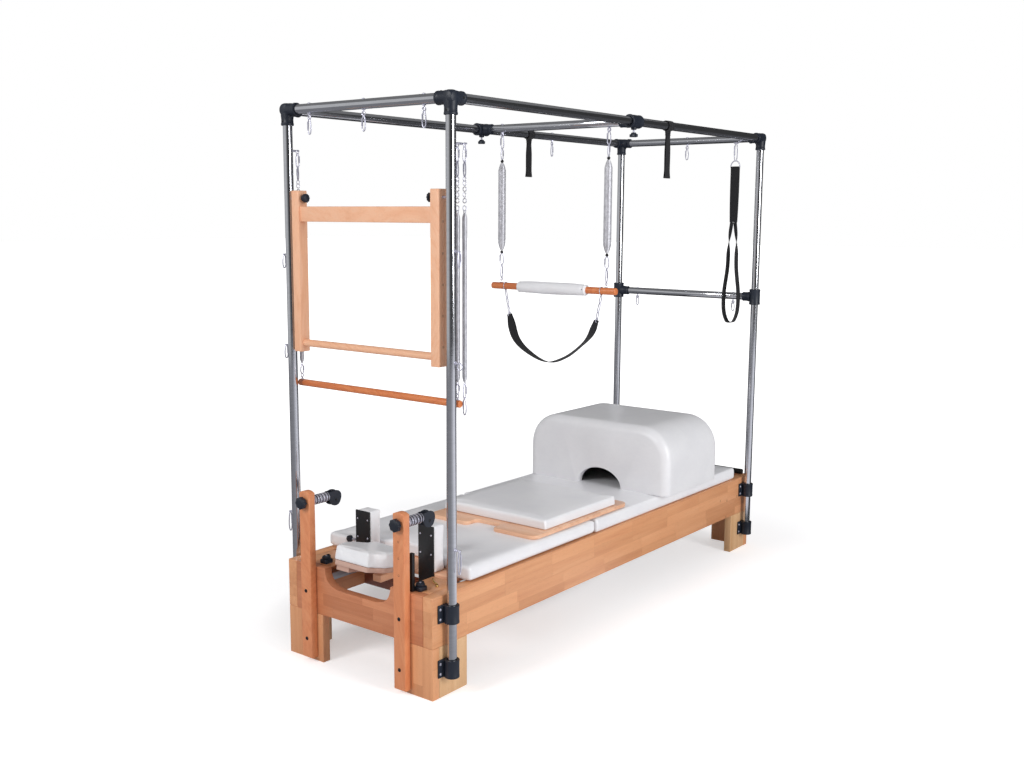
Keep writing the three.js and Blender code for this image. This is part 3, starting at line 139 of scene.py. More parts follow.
class Look(Nodes):
    # a material round one Principled shader, whose sockets are given by name
    def __init__(self, name, **sockets):
        self.material = bpy.data.materials.new(name)
        super().__init__(self.material)
        self.shader = self.tree.nodes["Principled BSDF"]
        self.set(**sockets)

    def set(self, **sockets):
        for socket, value in sockets.items():
            self.feed(self.shader.inputs[socket.replace("_", " ")], value)

    def place(self, scale=(1, 1, 1)):
        point = self.node("ShaderNodeTexCoord", out=3)
        return self.node("ShaderNodeMapping", {"Vector": point, "Scale": scale})

    def axes(self, point):
        return [self.node("ShaderNodeSeparateXYZ", {0: point}, i) for i in range(3)]

    def vector(self, x, y, z):
        return self.node("ShaderNodeCombineXYZ", {0: x, 1: y, 2: z})

    def noise(self, point, scale, detail=3.0, rough=0.55):
        return self.node("ShaderNodeTexNoise",
                         {"Vector": point, "Scale": scale, "Detail": detail, "Roughness": rough})

    def random(self, point):
        return self.node("ShaderNodeTexWhiteNoise", {"Vector": point}, noise_dimensions="3D")

    def mix(self, share, first, second):
        return self.node("ShaderNodeMix", {0: share, 6: first, 7: second}, 2, data_type="RGBA")

    def ramp(self, value, stops):
        return self.node("ShaderNodeValToRGB", {0: value}, stops=stops)

    def bump(self, height, distance, strength):
        self.set(Normal=self.node("ShaderNodeBump",
                                  {"Height": height, "Distance": distance, "Strength": strength}))


# base, dark and light colours, and the strip's width and the stave's length in metres, which
# are nought where a board is of one piece
woodSettings = {
    "beech": ((224, 158, 110), (202, 128, 84), (236, 178, 132), 0.046, 0.30),
    "paleBeech": ((248, 188, 150), (236, 166, 124), (252, 206, 174), 0.0, 0.0),
    "reddish": ((206, 130, 88), (182, 102, 64), (226, 158, 116), 0.046, 0.26),
    "yellowish": ((225, 180, 132), (206, 152, 104), (238, 200, 158), 0.046, 0.0),
    "boardBeech": ((240, 186, 150), (222, 158, 120), (248, 204, 174), 0.055, 0.45),
    "riserBeech": ((226, 144, 97), (208, 120, 74), (238, 166, 118), 0.0, 0.0),
    "pinkBeech": ((206, 168, 152), (186, 142, 124), (222, 188, 172), 0.0, 0.0),
    # darker beech as painted shade, for the cross board that lies in shade under the carriage
    "paintedShadeBeech": ((150, 88, 66), (122, 66, 48), (170, 104, 80), 0.0, 0.0),
    "orangeBeech": ((222, 128, 72), (200, 98, 48), (236, 152, 92), 0.0, 0.0),
}


def makeWood(name, kind, grain, across=(1, 2)):
    # Staves of one board are told apart by a random tone for each strip and each length in it.
    # Grain is noise drawn out along the stave, and fine dark flecks lie along it.
    base, dark, light, strip, stave = woodSettings[kind]
    look = Look(name, Coat_Weight=0.25, Coat_Roughness=0.25)
    axes = look.axes(look.place())
    if strip:
        # the strips are counted from far outside the table, so that no count is negative
        first, second = [axes[i] / strip + start for i, start in zip(across, (100, 100.02))]
        rows = [first.floor(), second.floor()]
        run = axes[grain] / (stave or 50.0) + look.random(look.vector(*rows, 3.0)) * 7.3
        tone = look.random(look.vector(*rows, run.floor()))
        seam = (second.fract() - 0.5).absolute() > 0.488
        butt = (run.fract() - 0.5).absolute() > 0.4975
    else:
        tone = look.noise(look.place((0.8, 0.8, 0.8)), 1.2, 1.0)
    shift = tone * 31.0
    drawn = look.vector(*[axes[i] * (1.3 if i == grain else 26.0) + shift for i in range(3)])
    figure = look.noise(drawn, 1.6, 5.0, 0.6)
    fine = look.noise(drawn, 14.0, 3.0, 0.7)
    specks = look.vector(*[axes[i] * (110.0 if i == grain else 1500.0) for i in range(3)])
    flecks = look.noise(specks, 0.7, 1.0) > 0.66
    colour = look.ramp(figure, [(0.25, linear(dark)), (0.5, linear(base)), (0.8, linear(light))])
    lift = look.mix(tone * 0.9, linear(base, 0.86), linear(light, 1.06))
    colour = look.mix(0.42 if strip else 0.25, colour, lift)
    colour = look.mix(fine * 0.25, colour, linear(dark))
    deep = linear(dark, 0.7)
    colour = look.mix(flecks * 0.22, colour, deep)
    if strip:
        colour = look.mix(butt * 0.18, look.mix(seam * 0.14, colour, deep), deep)
    look.set(Base_Color=colour, Roughness=0.34 + fine * 0.14)
    look.bump(figure * 0.5 + fine * 0.5 - flecks * 0.8, 0.00012, 0.5)
    return look.material


def makeChrome(name, colour=(214, 216, 222), rough=0.09):
    # Polished plating: faint wipe marks and specks change how sharp its reflections are.
    look = Look(name, Metallic=1.0, Specular_IOR_Level=0.5)
    wipe = look.noise(look.place((3, 3, 22)), 6.0, 4.0)
    specks = look.noise(look.place(), 420.0, 2.0) > 0.7
    shade = look.ramp(wipe, [(0.2, linear(colour, 0.94)), (0.8, linear(colour))])
    look.set(Base_Color=shade, Roughness=rough + wipe * 0.07 + specks * 0.05)
    return look.material


def makeBlack(name, colour, rough, grain, depth):
    # Painted or moulded black: a fine even grain, with dustier high spots.
    look = Look(name)
    fine = look.noise(look.place(), grain, 2.0)
    broad = look.noise(look.place(), 14.0, 3.0)
    look.set(Base_Color=look.mix(broad, linear(colour, 0.8), linear(colour, 1.25)),
             Roughness=rough + broad * 0.12)
    look.bump(fine, depth, 0.6)
    return look.material


def makeVinyl(name, colour, shadow):
    # Coated cloth: pebbles of leather grain about 1 mm across, soft broad unevenness and
    # faint handling marks.
    look = Look(name, Coat_Weight=0.2, Coat_Roughness=0.28)
    cells = look.node("ShaderNodeTexVoronoi", {"Vector": look.place(), "Scale": 900.0}, feature="SMOOTH_F1")
    fine = look.noise(look.place(), 1500.0, 2.0)
    broad = look.noise(look.place(), 7.0, 3.0)
    marks = look.noise(look.place((1, 1, 2)), 38.0, 5.0, 0.7)
    shade = look.ramp(broad * 0.7 + marks * 0.3, [(0.3, linear(shadow)), (0.62, linear(colour))])
    look.set(Base_Color=shade, Roughness=0.32 + marks * 0.12)
    look.bump(cells * 0.7 + fine * 0.3 + broad, 0.00018, 0.5)
    return look.material


def makeWebbing(name):
    # Woven along the piece's own UV map, which is in metres: u runs along the band and v
    # across it. Ribs of weft 1.6 mm apart are broken into a herringbone by the warp.
    look = Look(name, Sheen_Weight=0.08, Sheen_Roughness=0.5)
    u, v, _ = look.axes(look.node("ShaderNodeTexCoord", out=2))
    warp = (v * (2 * math.pi / 0.0021)).sine()
    weft = ((u * (2 * math.pi / 0.0016)) + warp * 1.1).sine()
    edge = look.noise(look.place(), 900.0, 2.0)
    weave = weft * 0.5 + warp * 0.25 + edge * 0.5
    shade = look.ramp(weave * 0.5 + 0.5, [(0.1, linear((5, 5, 7))), (0.9, linear((26, 26, 31)))])
    look.set(Base_Color=shade, Roughness=0.78 + edge * 0.12)
    look.bump(weave, 0.0003, 0.8)
    return look.material


def makeSatinSteel(name, dark, light, metal=0.55, rough=0.36):
    # Drawn or zinc-plated steel: pale, with fine scratches and a light oily stain.
    look = Look(name, Metallic=metal)
    stain = look.noise(look.place(), 60.0, 4.0)
    scratch = look.noise(look.place((1, 1, 12)), 500.0, 2.0)
    shade = look.ramp(stain * 0.8 + scratch * 0.2, [(0.3, linear(dark)), (0.7, linear(light))])
    look.set(Base_Color=shade, Roughness=rough + stain * 0.16)
    return look.material


# each finish has a material and the slot of the part that it fills
finishes = {
    "beechX": (makeWood("beech_along", "beech", 0), "beech"),
    "beechZ": (makeWood("beech_upright", "beech", 2, (0, 1)), "beech"),
    "riser": (makeWood("riser_beech", "riserBeech", 2), "beech"),
    "paintedShadeBoard": (makeWood("inner_beech_painted_shade", "paintedShadeBeech", 1), "beech"),
    "endBoard": (makeWood("beech_end_board", "reddish", 1, (0, 2)), "beech"),
    # painted shade: the cross board's wood is darkened for the shade it lies in
    "legPale": (makeWood("leg_beech", "yellowish", 2, (1, 0)), "beech"),
    "paleZ": (makeWood("pale_beech_upright", "paleBeech", 2), "pale_beech"),
    "paleY": (makeWood("pale_beech_across", "paleBeech", 1), "pale_beech"),
    "boardX": (makeWood("board_beech", "boardBeech", 1, (2, 0)), "pale_beech"),
    "headBoard": (makeWood("headrest_beech", "pinkBeech", 1), "pale_beech"),
    "platform": (makeWood("platform_beech", "paleBeech", 1), "pale_beech"),
    "orangeY": (makeWood("orange_beech", "orangeBeech", 1), "orange_beech"),
    "chrome": (makeChrome("chrome"), "chrome_tube"),
    "zinc": (makeSatinSteel("zinc_plate", (176, 176, 194), (222, 222, 236), 0.6, 0.28), "chrome_tube"),
    "brass": (makeChrome("brass", (222, 184, 110), 0.18), "chrome_tube"),
    "casting": (makeBlack("black_casting", (26, 33, 46), 0.4, 700.0, 0.00008), "black_casting"),
    "steel": (makeBlack("black_steel", (16, 17, 21), 0.36, 1200.0, 0.00006), "black_steel"),
    "rubber": (makeBlack("black_plastic", (15, 16, 18), 0.5, 900.0, 0.00005), "black_steel"),
    "whiteVinyl": (makeVinyl("white_vinyl", (241, 241, 244), (234, 234, 239)), "white_vinyl"),
    "greyVinyl": (makeVinyl("grey_vinyl", (234, 234, 237), (227, 227, 231)), "grey_vinyl"),
    "webbing": (makeWebbing("webbing"), "webbing"),
    # painted shade: a black sheet that darkens the inside of the sitting box's hollow
    "paintedShadeSheet": (makeBlack("box_painted_shade_sheet", (20, 20, 23), 0.9, 1500.0, 0.0002), "webbing"),
    "spring": (makeSatinSteel("spring_steel", (196, 196, 202), (236, 236, 242)), "spring_steel"),
    "aluminium": (makeChrome("aluminium", (190, 192, 196), 0.3), "track_metal"),
}
stage("materials made")


# A part is (points, faces, uv): an array of millimetre points, index lists, and uv or None.


def gridPart(points, capStart=True, capEnd=True, uv=None):
    # points[i, j]: rows run along the piece and columns round it, with the last column on
    # the first. Faces join neighbours, and an end is closed by one face.
    rows, columns = points.shape[:2]
    index = np.arange(rows * columns).reshape(rows, columns)
    quads = np.stack([index[:-1, :-1], index[:-1, 1:], index[1:, 1:], index[1:, :-1]], -1)
    faces = quads.reshape(-1, 4).tolist()
    if capStart:
        faces.append(index[0, :-1][::-1].tolist())
    if capEnd:
        faces.append(index[-1, :-1].tolist())
    return points.reshape(-1, 3), faces, None if uv is None else uv.reshape(-1, 2)


def unit(vectors):
    return vectors / np.linalg.norm(vectors, axis=-1, keepdims=True)


def sweep(path, radius, around=10, side=(0, 0, 1), loop=False, ends=True):
    # A round section carried along a path: point + r (cos a * normal + sin a * across), the
    # normal being the given side direction made square to the path.
    path = np.asarray(path, float)
    if loop:
        path = np.vstack([path, path[:1]])
        way = unit(np.roll(path[:-1], -1, 0) - np.roll(path[:-1], 1, 0))
        way = np.vstack([way, way[:1]])
    else:
        way = unit(np.gradient(path, axis=0))
    side = np.broadcast_to(np.asarray(side, float), path.shape)
    normal = unit(side - way * (side * way).sum(-1, keepdims=True))
    across = np.cross(way, normal)
    angle = np.linspace(0, 2 * np.pi, around + 1)[None, :, None]
    radius = np.broadcast_to(np.asarray(radius, float), (len(path),))[:, None, None]
    rings = path[:, None] + radius * (np.cos(angle) * normal[:, None] + np.sin(angle) * across[:, None])
    return gridPart(rings, not loop and ends, not loop and ends)


def squareTo(axis):
    # the axis as a unit vector, and two directions square to it and to each other
    axis = unit(np.asarray(axis, float))
    normal = unit(np.cross(axis, alongZ if abs(axis[2]) < 0.9 else alongX))
    return axis, normal, np.cross(axis, normal)


def turned(profile, start, end, around=24):
    # A profile of (radius, distance) points turned about the line from start towards end.
    axis, normal, across = squareTo(np.subtract(end, start))
    profile = np.asarray(profile, float)
    angle = np.linspace(0, 2 * np.pi, around + 1)[None, :, None]
    ring = np.cos(angle) * normal + np.sin(angle) * across
    points = start + profile[:, 1][:, None, None] * axis + profile[:, 0][:, None, None] * ring
    return gridPart(points, profile[0][0] > 0, profile[-1][0] > 0)


def closedRing(profile, start, end, around=32):
    # A turned profile that comes back to its first point, so that it closes on itself.
    points, faces, uv = turned(profile + profile[:1], start, end, around)
    return points, [f for f in faces if len(f) == 4], uv


def evenEnds(half, start, end):
    # A profile whose half is given, and is repeated the other way round at the far end.
    length = np.linalg.norm(np.subtract(end, start))
    return half + [(radius, length - distance) for radius, distance in half[::-1]]


def evenRod(half, start, end, around=12):
    return turned(evenEnds(half, start, end), start, end, around)


def evenRing(half, start, end, around=40):
    return closedRing(evenEnds(half, start, end), start, end, around)


def rod(radius, start, end, around=12):
    return evenRod([(0, 0), (radius, 0)], start, end, around)


def roundedRod(radius, start, end, edge=2, around=24):
    # A rod whose end edges are rounded through a quarter circle.
    length = np.linalg.norm(np.subtract(end, start))
    bend = np.linspace(0, np.pi / 2, 4)
    rise = np.stack([radius - edge + edge * np.sin(bend), edge - edge * np.cos(bend)], -1)
    fall = np.stack([rise[::-1, 0], length - rise[::-1, 1]], -1)
    return turned(np.vstack([rise, fall]), start, end, around)


def ringPart(centre, axis, radius, wire, around=20):
    # A ring of wire: a circle about the centre, square to the axis.
    axis, normal, across = squareTo(axis)
    angle = np.linspace(0, 2 * np.pi, around, endpoint=False)[:, None]
    path = np.asarray(centre, float) + radius * (np.cos(angle) * normal + np.sin(angle) * across)
    return sweep(path, wire, 8, side=axis, loop=True)


def roundBlock(low, high, edge=2, steps=3):
    # A block with round edges: a sphere of the edge radius whose eight octants are pushed
    # out to the block's corners by the sign of each direction.
    low, high = np.asarray(low, float), np.asarray(high, float)
    low, high = np.minimum(low, high), np.maximum(low, high)
    edge = min(edge, (high - low).min() / 2 - 1e-3)
    quarter = np.linspace(0, np.pi / 2, steps + 1)
    round_ = np.concatenate([quarter + k * np.pi / 2 for k in range(4)] + [[2 * np.pi]])
    sx = np.repeat([1, -1, -1, 1], steps + 1).tolist() + [1]
    sy = np.repeat([1, 1, -1, -1], steps + 1).tolist() + [1]
    rise = np.concatenate([quarter - np.pi / 2, quarter])
    sz = np.repeat([-1, 1], steps + 1)
    half = (high - low) / 2 - edge
    u, v = np.meshgrid(rise, round_, indexing="ij")
    sphere = np.stack([np.cos(u) * np.cos(v), np.cos(u) * np.sin(v), np.sin(u)], -1) * edge
    push = np.stack([np.broadcast_to(sx, u.shape), np.broadcast_to(sy, u.shape),
                     np.broadcast_to(sz[:, None], u.shape)], -1) * half
    return gridPart((low + high) / 2 + sphere + push)


def slab(outline, low, high, edge=2, axis=2, steps=2):
    # An outline (n points, anticlockwise) carried along an axis, its rims rounded by rings
    # that step inwards along a quarter circle. Each point moves along its own inward normal.
    outline = np.asarray(outline, float)
    ahead, behind = np.roll(outline, -1, 0), np.roll(outline, 1, 0)
    a, b = unit(outline - behind), unit(ahead - outline)
    inA, inB = np.stack([-a[:, 1], a[:, 0]], -1), np.stack([-b[:, 1], b[:, 0]], -1)
    inward = (inA + inB) / (1 + (inA * inB).sum(-1, keepdims=True)).clip(0.3)
    bend = np.linspace(0, np.pi / 2, steps + 1)
    inset = np.concatenate([edge - edge * np.sin(bend), (edge - edge * np.sin(bend))[::-1]])
    height = np.concatenate([low + edge - edge * np.cos(bend), (high - edge + edge * np.cos(bend))[::-1]])
    flat = outline[None] + inset[:, None, None] * inward[None]
    points = np.empty(flat.shape[:2] + (3,))
    points[..., (axis + 1) % 3], points[..., (axis + 2) % 3] = flat[..., 0], flat[..., 1]
    points[..., axis] = height[:, None]
    points = np.concatenate([points, points[:, :1]], 1)
    return gridPart(points)


def band(path, facing, width, thickness):
    # Webbing: a flat section with round selvedges carried along a path. facing is the
    # direction of the band's width at each point. u is the distance along, v the place across.
    path = np.asarray(path, float)
    way = unit(np.gradient(path, axis=0))
    facing = np.broadcast_to(np.asarray(facing, float), path.shape)
    wide = unit(facing - way * (facing * way).sum(-1, keepdims=True))
    thin = np.cross(way, wide)
    width = np.broadcast_to(np.asarray(width, float), (len(path),))[:, None, None]
    h = thickness / 2
    across = np.array([-1, -1, -0.5, 0, 0.5, 1, 1, 1, 0.5, 0, -0.5, -1, -1.0])
    selvedge = np.array([-0, 1, 0, 0, 0, -1, 0, -1, 0, 0, 0, 1, 0.0])
    up = np.array([0, -0.8, -1, -1, -1, -0.8, 0, 0.8, 1, 1, 1, 0.8, 0.0])
    aw = across[None, :, None] * width / 2 + selvedge[None, :, None] * h * 0.5
    points = path[:, None] + aw * wide[:, None] + up[None, :, None] * h * thin[:, None]
    length = np.concatenate([[0], np.cumsum(np.linalg.norm(np.diff(path, axis=0), axis=1))])
    u = np.broadcast_to((length / 1000)[:, None], points.shape[:2])
    v = np.broadcast_to(aw[..., 0] / 1000, points.shape[:2])
    return gridPart(points, uv=np.stack([u, v], -1))


def bowed(a, b, c, steps):
    # A quadratic curve from a to c, which leaves and arrives in line with b.
    t = np.linspace(0, 1, steps)[:, None]
    return (1 - t) ** 2 * np.asarray(a) + 2 * t * (1 - t) * np.asarray(b) + t ** 2 * np.asarray(c)


def catmull(points, count):
    # A smooth curve through points, with count points evenly spread by length.
    points = np.asarray(points, float)
    padded = np.vstack([2 * points[0] - points[1], points, 2 * points[-1] - points[-2]])
    t = np.linspace(0, len(points) - 1 - 1e-9, count * 4)
    i = t.astype(int)
    f = (t - i)[:, None]
    a, b, c, d = padded[i], padded[i + 1], padded[i + 2], padded[i + 3]
    curve = 0.5 * (2 * b + (c - a) * f + (2 * a - 5 * b + 4 * c - d) * f ** 2
                   + (3 * b - a - 3 * c + d) * f ** 3)
    run = np.concatenate([[0], np.cumsum(np.linalg.norm(np.diff(curve, axis=0), axis=1))])
    at = np.linspace(0, run[-1], count)
    return np.stack([np.interp(at, run, curve[:, k]) for k in range(curve.shape[1])], -1)


def roundedOutline(x0, x1, y0, y1, radius, draw=0.0, edgeSteps=6, cornerSteps=5):
    # A rectangle with round corners whose long edges are drawn in a little at mid-length.
    corners = [(x1 - radius, y1 - radius, 0), (x0 + radius, y1 - radius, 1),
               (x0 + radius, y0 + radius, 2), (x1 - radius, y0 + radius, 3)]
    arcs = [np.stack([cx + radius * np.cos(a), cy + radius * np.sin(a)], -1)
            for cx, cy, q in corners for a in [(q + np.linspace(0, 1, cornerSteps + 1)) * np.pi / 2]]
    points = []
    for k, arc in enumerate(arcs):
        start, end = arc[-1], arcs[(k + 1) % 4][0]
        way = unit(end - start)
        share = np.linspace(0, 1, edgeSteps + 1)[1:-1, None]
        points += [arc, start + (end - start) * share
                   + np.array([-way[1], way[0]]) * draw * np.sin(np.pi * share)]
    return np.vstack(points)


def roundCorners(outline, radius, steps=5):
    # Each corner becomes a quadratic curve whose ends lie the radius along its two edges.
    outline = np.asarray(outline, float)
    back, ahead = np.roll(outline, 1, 0), np.roll(outline, -1, 0)
    shorter = np.minimum(np.linalg.norm(outline - back, axis=1), np.linalg.norm(ahead - outline, axis=1))
    reach = np.minimum(radius, shorter * 0.45)[:, None]
    start, end = outline + unit(back - outline) * reach, outline + unit(ahead - outline) * reach
    return bowed(start[:, None], outline[:, None], end[:, None], steps).reshape(-1, 2)


def star(middle, radius, dip, lobes, count):
    # The outline of a knob: a circle that dips between its lobes.
    angle = np.linspace(0, 2 * np.pi, count, endpoint=False)
    reach = radius * (1 - dip * (1 - np.cos(lobes * angle)))
    return np.stack([reach * np.cos(angle), reach * np.sin(angle)], -1) + middle


def volume(points, faces):
    # Six times the signed volume over fans of each face.
    total = 0.0
    for size in {len(f) for f in faces}:
        ids = np.array([f for f in faces if len(f) == size])
        for k in range(1, size - 1):
            a, b, c = points[ids[:, 0]], points[ids[:, k]], points[ids[:, k + 1]]
            total += np.einsum("ij,ij->", a, np.cross(b, c))
    return total


def outward(points, faces):
    # The faces, turned round where they point inwards.
    return [face[::-1] for face in faces] if volume(points - points.mean(0), faces) < 0 else faces


def newMesh(name, points, faces):
    mesh = bpy.data.meshes.new(name)
    mesh.from_pydata(np.asarray(points).tolist(), [], faces)
    return mesh


def addObject(name, data):
    thing = bpy.data.objects.new(name, data)
    bpy.context.scene.collection.objects.link(thing)
    return thing


def weld(mesh, source=None, recalculate=False):
    # Merges the doubles of a mesh, or of a CAD node's shape that the mesh then takes.
    shape = bmesh.new()
    shape.from_mesh(source.data if source else mesh)
    if source:
        shape.transform(source.matrix_world)
    bmesh.ops.remove_doubles(shape, verts=shape.verts, dist=2e-6)
    if source:
        bmesh.ops.dissolve_limit(shape, angle_limit=math.radians(1), verts=shape.verts, edges=shape.edges)
    if recalculate:
        bmesh.ops.recalc_face_normals(shape, faces=shape.faces)
    shape.to_mesh(mesh)
    shape.free()


def applyModifiers(thing):
    mesh = bpy.data.meshes.new_from_object(thing.evaluated_get(bpy.context.evaluated_depsgraph_get()))
    thing.modifiers.clear()
    thing.data = mesh


def handOver(thing, finish, body, replaces):
    # Gives a piece its finish, hides the CAD part that it replaces, and attaches it to the body that it moves
    # with.
    material, slot = finishes[finish]
    thing.data.materials.clear()
    thing.data.materials.append(material)
    if replaces:
        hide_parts(replaces)
    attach(thing, body)


def placeObject(name, mesh, finish, body, replaces, smooth=40):
    mesh.validate()
    mesh.shade_smooth()
    mesh.set_sharp_from_angle(angle=math.radians(smooth))
    thing = addObject(name, mesh)
    handOver(thing, finish, body, replaces)
    return thing


def makeObject(name, parts, finish, body, replaces=None, smooth=40):
    points, faces, uvs, start = [], [], [], 0
    for vertices, own, uv in parts:
        faces += [[i + start for i in face] for face in outward(vertices, own)]
        points.append(vertices)
        uvs.append(uv)
        start += len(vertices)
    mesh = newMesh(name, toRow(np.vstack(points)), faces)
    if all(uv is not None for uv in uvs):
        layer = mesh.uv_layers.new(name="weave")
        index = np.empty(len(mesh.loops), dtype=np.int32)
        mesh.loops.foreach_get("vertex_index", index)
        layer.data.foreach_set("uv", np.vstack(uvs)[index].astype(np.float32).ravel())
    weld(mesh)
    return placeObject(name, mesh, finish, body, replaces, smooth)


def screw(at, axis, radius=5.0, rise=2.2):
    # A button-head screw: a low dome with a hexagon socket sunk in it.
    bend = np.linspace(0, np.pi / 2, 5)
    dome = [(radius, 0)] + [(radius * np.cos(b * 0.72), 0.4 + rise * np.sin(b)) for b in bend]
    socket = [(radius * 0.32, rise + 0.4), (radius * 0.3, rise * 0.3), (0, rise * 0.3)]
    at, axis = np.asarray(at, float), unit(np.asarray(axis, float))
    return turned(dome + socket, at - axis * 0.3, at + axis, 12)


def hole(at, axis, radius):
    # A drilled hole seen from outside is a shallow dark cup set in the face; the cup's black finish is
    # painted shade for the hole's depth.
    at, axis = np.asarray(at, float), unit(np.asarray(axis, float))
    cup = [(radius + 0.5, 0), (radius + 0.5, 0.35), (radius, 0.5), (radius * 0.92, 0.1), (0, 0.05)]
    return turned(cup, at - axis * 0.1, at + axis, 14)


def tubeWithBore(start, end):
    inner, outer = tubeRadius - 2.5, tubeRadius
    return evenRing([(inner, 0.5), (inner + 0.5, 0), (outer - 0.6, 0), (outer, 0.6)], start, end)


# the wire's section, nearly flat outside, so that a whole spring shines like a tube
coilSection = [(0.5, -0.3), (0.5, 0.3), (0.2, 0.5), (-0.5, 0.3), (-0.5, -0.3), (0.2, -0.5)]


def coil(x, y, radius, wire, top, bottom, around=16):
    # A close-wound spring whose ends taper to an eye: the radius shrinks over the last
    # turns, and the wire's own line is (r cos a, r sin a, z).
    turns = (top - bottom) / (wire * 1.06)
    t = np.linspace(0, 1, int(turns * around) + 1)
    angle = t * turns * 2 * np.pi
    z = top + (bottom - top) * t
    taper = np.clip(np.minimum(z - bottom, top - z) / (radius * 1.9), 0, 1) ** 0.6
    reach = wire * 0.8 + (radius - wire / 2 - wire * 0.8) * taper
    out, up = np.array(coilSection).T * wire
    points = np.stack([x + (reach[:, None] + out) * np.cos(angle)[:, None],
                       y + (reach[:, None] + out) * np.sin(angle)[:, None], z[:, None] + up], -1)
    return gridPart(np.concatenate([points, points[:, :1]], 1))


def snapHook(x, y, top, bottom, facing, wire=4.4, width=9):
    # A snap hook seen flat: a long pear-shaped eye of wire with a gate down one side.
    facing = unit(np.asarray(facing, float))
    length, middle = top - bottom, np.array([x, y, 0])
    angle = np.linspace(0, 2 * np.pi, 28, endpoint=False)
    lift = np.sin(angle)
    half = width * (0.82 - 0.18 * lift) * np.cos(angle)
    height = (top + bottom) / 2 + lift * (length / 2 - wire / 2)
    path = middle + np.stack([half * facing[0], half * facing[1], height], -1)
    eye = sweep(path, wire / 2, 8, side=np.cross(facing, alongZ), loop=True)
    hinge = middle + facing * (width * 0.78)
    gate = sweep([hinge + (0, 0, bottom + length * 0.34), hinge + (0, 0, top - length * 0.2)], wire * 0.72, 8,
                 side=(1, 0.3, 0))
    return [eye, gate]


def slantHook(start, end, width, wire):
    # A snap hook between two points: an ellipse of wire about the line that joins them.
    axis, middle = unit(end - start), (start + end) / 2
    side = unit(np.cross(axis, alongX))
    angle = np.linspace(0, 2 * np.pi, 24, endpoint=False)[:, None]
    reach = np.linalg.norm(end - start) / 2
    path = middle + np.sin(angle) * reach * axis + np.cos(angle) * width / 2 * side
    return sweep(path, wire / 2, 8, side=alongX, loop=True)


def hangers(x, y, hooks, rings):
    # A chain of snap hooks, each (top, bottom, facing, wire, width), and rings, each
    # (height, axis, radius, wire).
    parts = [part for hook in hooks for part in snapHook(x, y, *hook)]
    return parts + [ringPart((x, y, z), *ring) for z, *ring in rings]


def eyeBolt(x, y, z, down, wire, ring, axis):
    # A shank with a ring at its end, down to the given depth.
    profile = [(0, 0), (2.6, 0.4), (3, 1), (3, down - ring), (0, down - ring)]
    return [turned(profile, (x, y, z), (x, y, z - down), 12), ringPart((x, y, z - down), axis, ring, wire)]


postSettings = {"bottom": 75, "top": canopyTop - 27, "clamps": ((77, 143), (276, 342)), "woodFace": 370.4,
                "flange": 6, "flangeHalf": 45, "webHalf": 26, "screwReach": 36, "screwInset": 15}


def clampSaddle(x, way, low, high):
    # A saddle clamp: a collar round the post with a rounded rim at each end, and a flange
    # with round corners against the wood, on both sides.
    s = postSettings
    y, face = way * postY, s["woodFace"]
    rim = [(18.2, 0.8), (19.2, 0), (25.5, 0), (27, 1.6), (27, 8), (26.4, 10)]
    return [evenRing(rim, (x, y, low), (x, y, high)),
            roundBlock((x - s["flangeHalf"], way * face, low),
                       (x + s["flangeHalf"], way * (face + s["flange"]), high), 2.6, 3),
            roundBlock((x - s["webHalf"], way * (face + 2), low + 0.6),
                       (x + s["webHalf"], way * (postY - 18.6), high - 0.6), 2, 2)]


def makePosts():
    s = postSettings
    for end, x in postX.items():
        for side, way in sides.items():
            y = way * postY
            tube = tubeWithBore((x, y, s["bottom"]), (x, y, s["top"]))
            makeObject(f"post_tube_{end}_{side}", [tube], "chrome", "base", f"post_{end}_{side}")
            clamps, screws = [], []
            for low, high in s["clamps"]:
                clamps += clampSaddle(x, way, low, high)
                screws += [screw((x + dx, way * (s["woodFace"] + s["flange"]), z), (0, way, 0), 5.2, 2.6)
                           for dx in (-s["screwReach"], s["screwReach"])
                           for z in (low + s["screwInset"], high - s["screwInset"])]
            makeObject(f"post_clamps_{end}_{side}", clamps, "casting", "base")
            makeObject(f"post_clamp_screws_{end}_{side}", screws, "zinc", "base")


# the socket's profile from its mouth, over two low rims, to its closed end, and the web's
# reach along a post and along a tube
cornerSettings = {
    "mouth": 27.2, "screwAt": 41, "screwOut": 22.2, "reach": (50, 46), "hollow": 27, "webHalf": 4.5,
    "profile": [(18.2, 56), (19, 56.4), (22, 56.4), (23.4, 55), (23.6, 49), (22.4, 47.5), (22.2, 34),
                (23.6, 20), (24, 0), (23.4, -12), (20, -20), (12, -23.4), (0, -24)]}


def makeCorners():
    # Three sockets that swell where they meet, webs between them, and a set screw on each.
    s = cornerSettings
    socket = [(0, s["mouth"]), (18.2, s["mouth"])] + s["profile"]
    for end, x in postX.items():
        inward = 1 if end == "head" else -1
        for side, way in sides.items():
            centre = np.array([x, way * postY, canopyTop], float)
            axes = [np.array(axis, float) for axis in ((0, 0, -1), (inward, 0, 0), (0, -way, 0))]
            parts = [turned(socket, centre, centre + axis, 40) for axis in axes]
            for a, b in ((0, 1), (0, 2), (1, 2)):
                one, two = axes[a], axes[b]
                reach = s["reach"][0 if a == 0 else 1]
                curve = bowed(reach * one, s["hollow"] * (one + two), reach * two, 7)
                rim = np.vstack([np.zeros((1, 3)), curve, np.zeros((1, 3))])
                normal = np.cross(one, two) * s["webHalf"]
                rows = [rim * share + normal * rise
                        for share, rise in ((0.985, 1), (1, 0.7), (1, -0.7), (0.985, -1))]
                parts.append(gridPart(centre + np.stack(rows)))
            makeObject(f"corner_shell_{end}_{side}", parts, "casting", "base", f"corner_{end}_{side}")
            plugs = [screw(centre + axis * s["screwAt"] + np.array(out) * s["screwOut"], out, 4.4, 1.8)
                     for axis, out in zip(axes, ((-inward, 0, 0), (0, way, 0), (0, 0, 1)))]
            makeObject(f"corner_screws_{end}_{side}", plugs, "steel", "base")


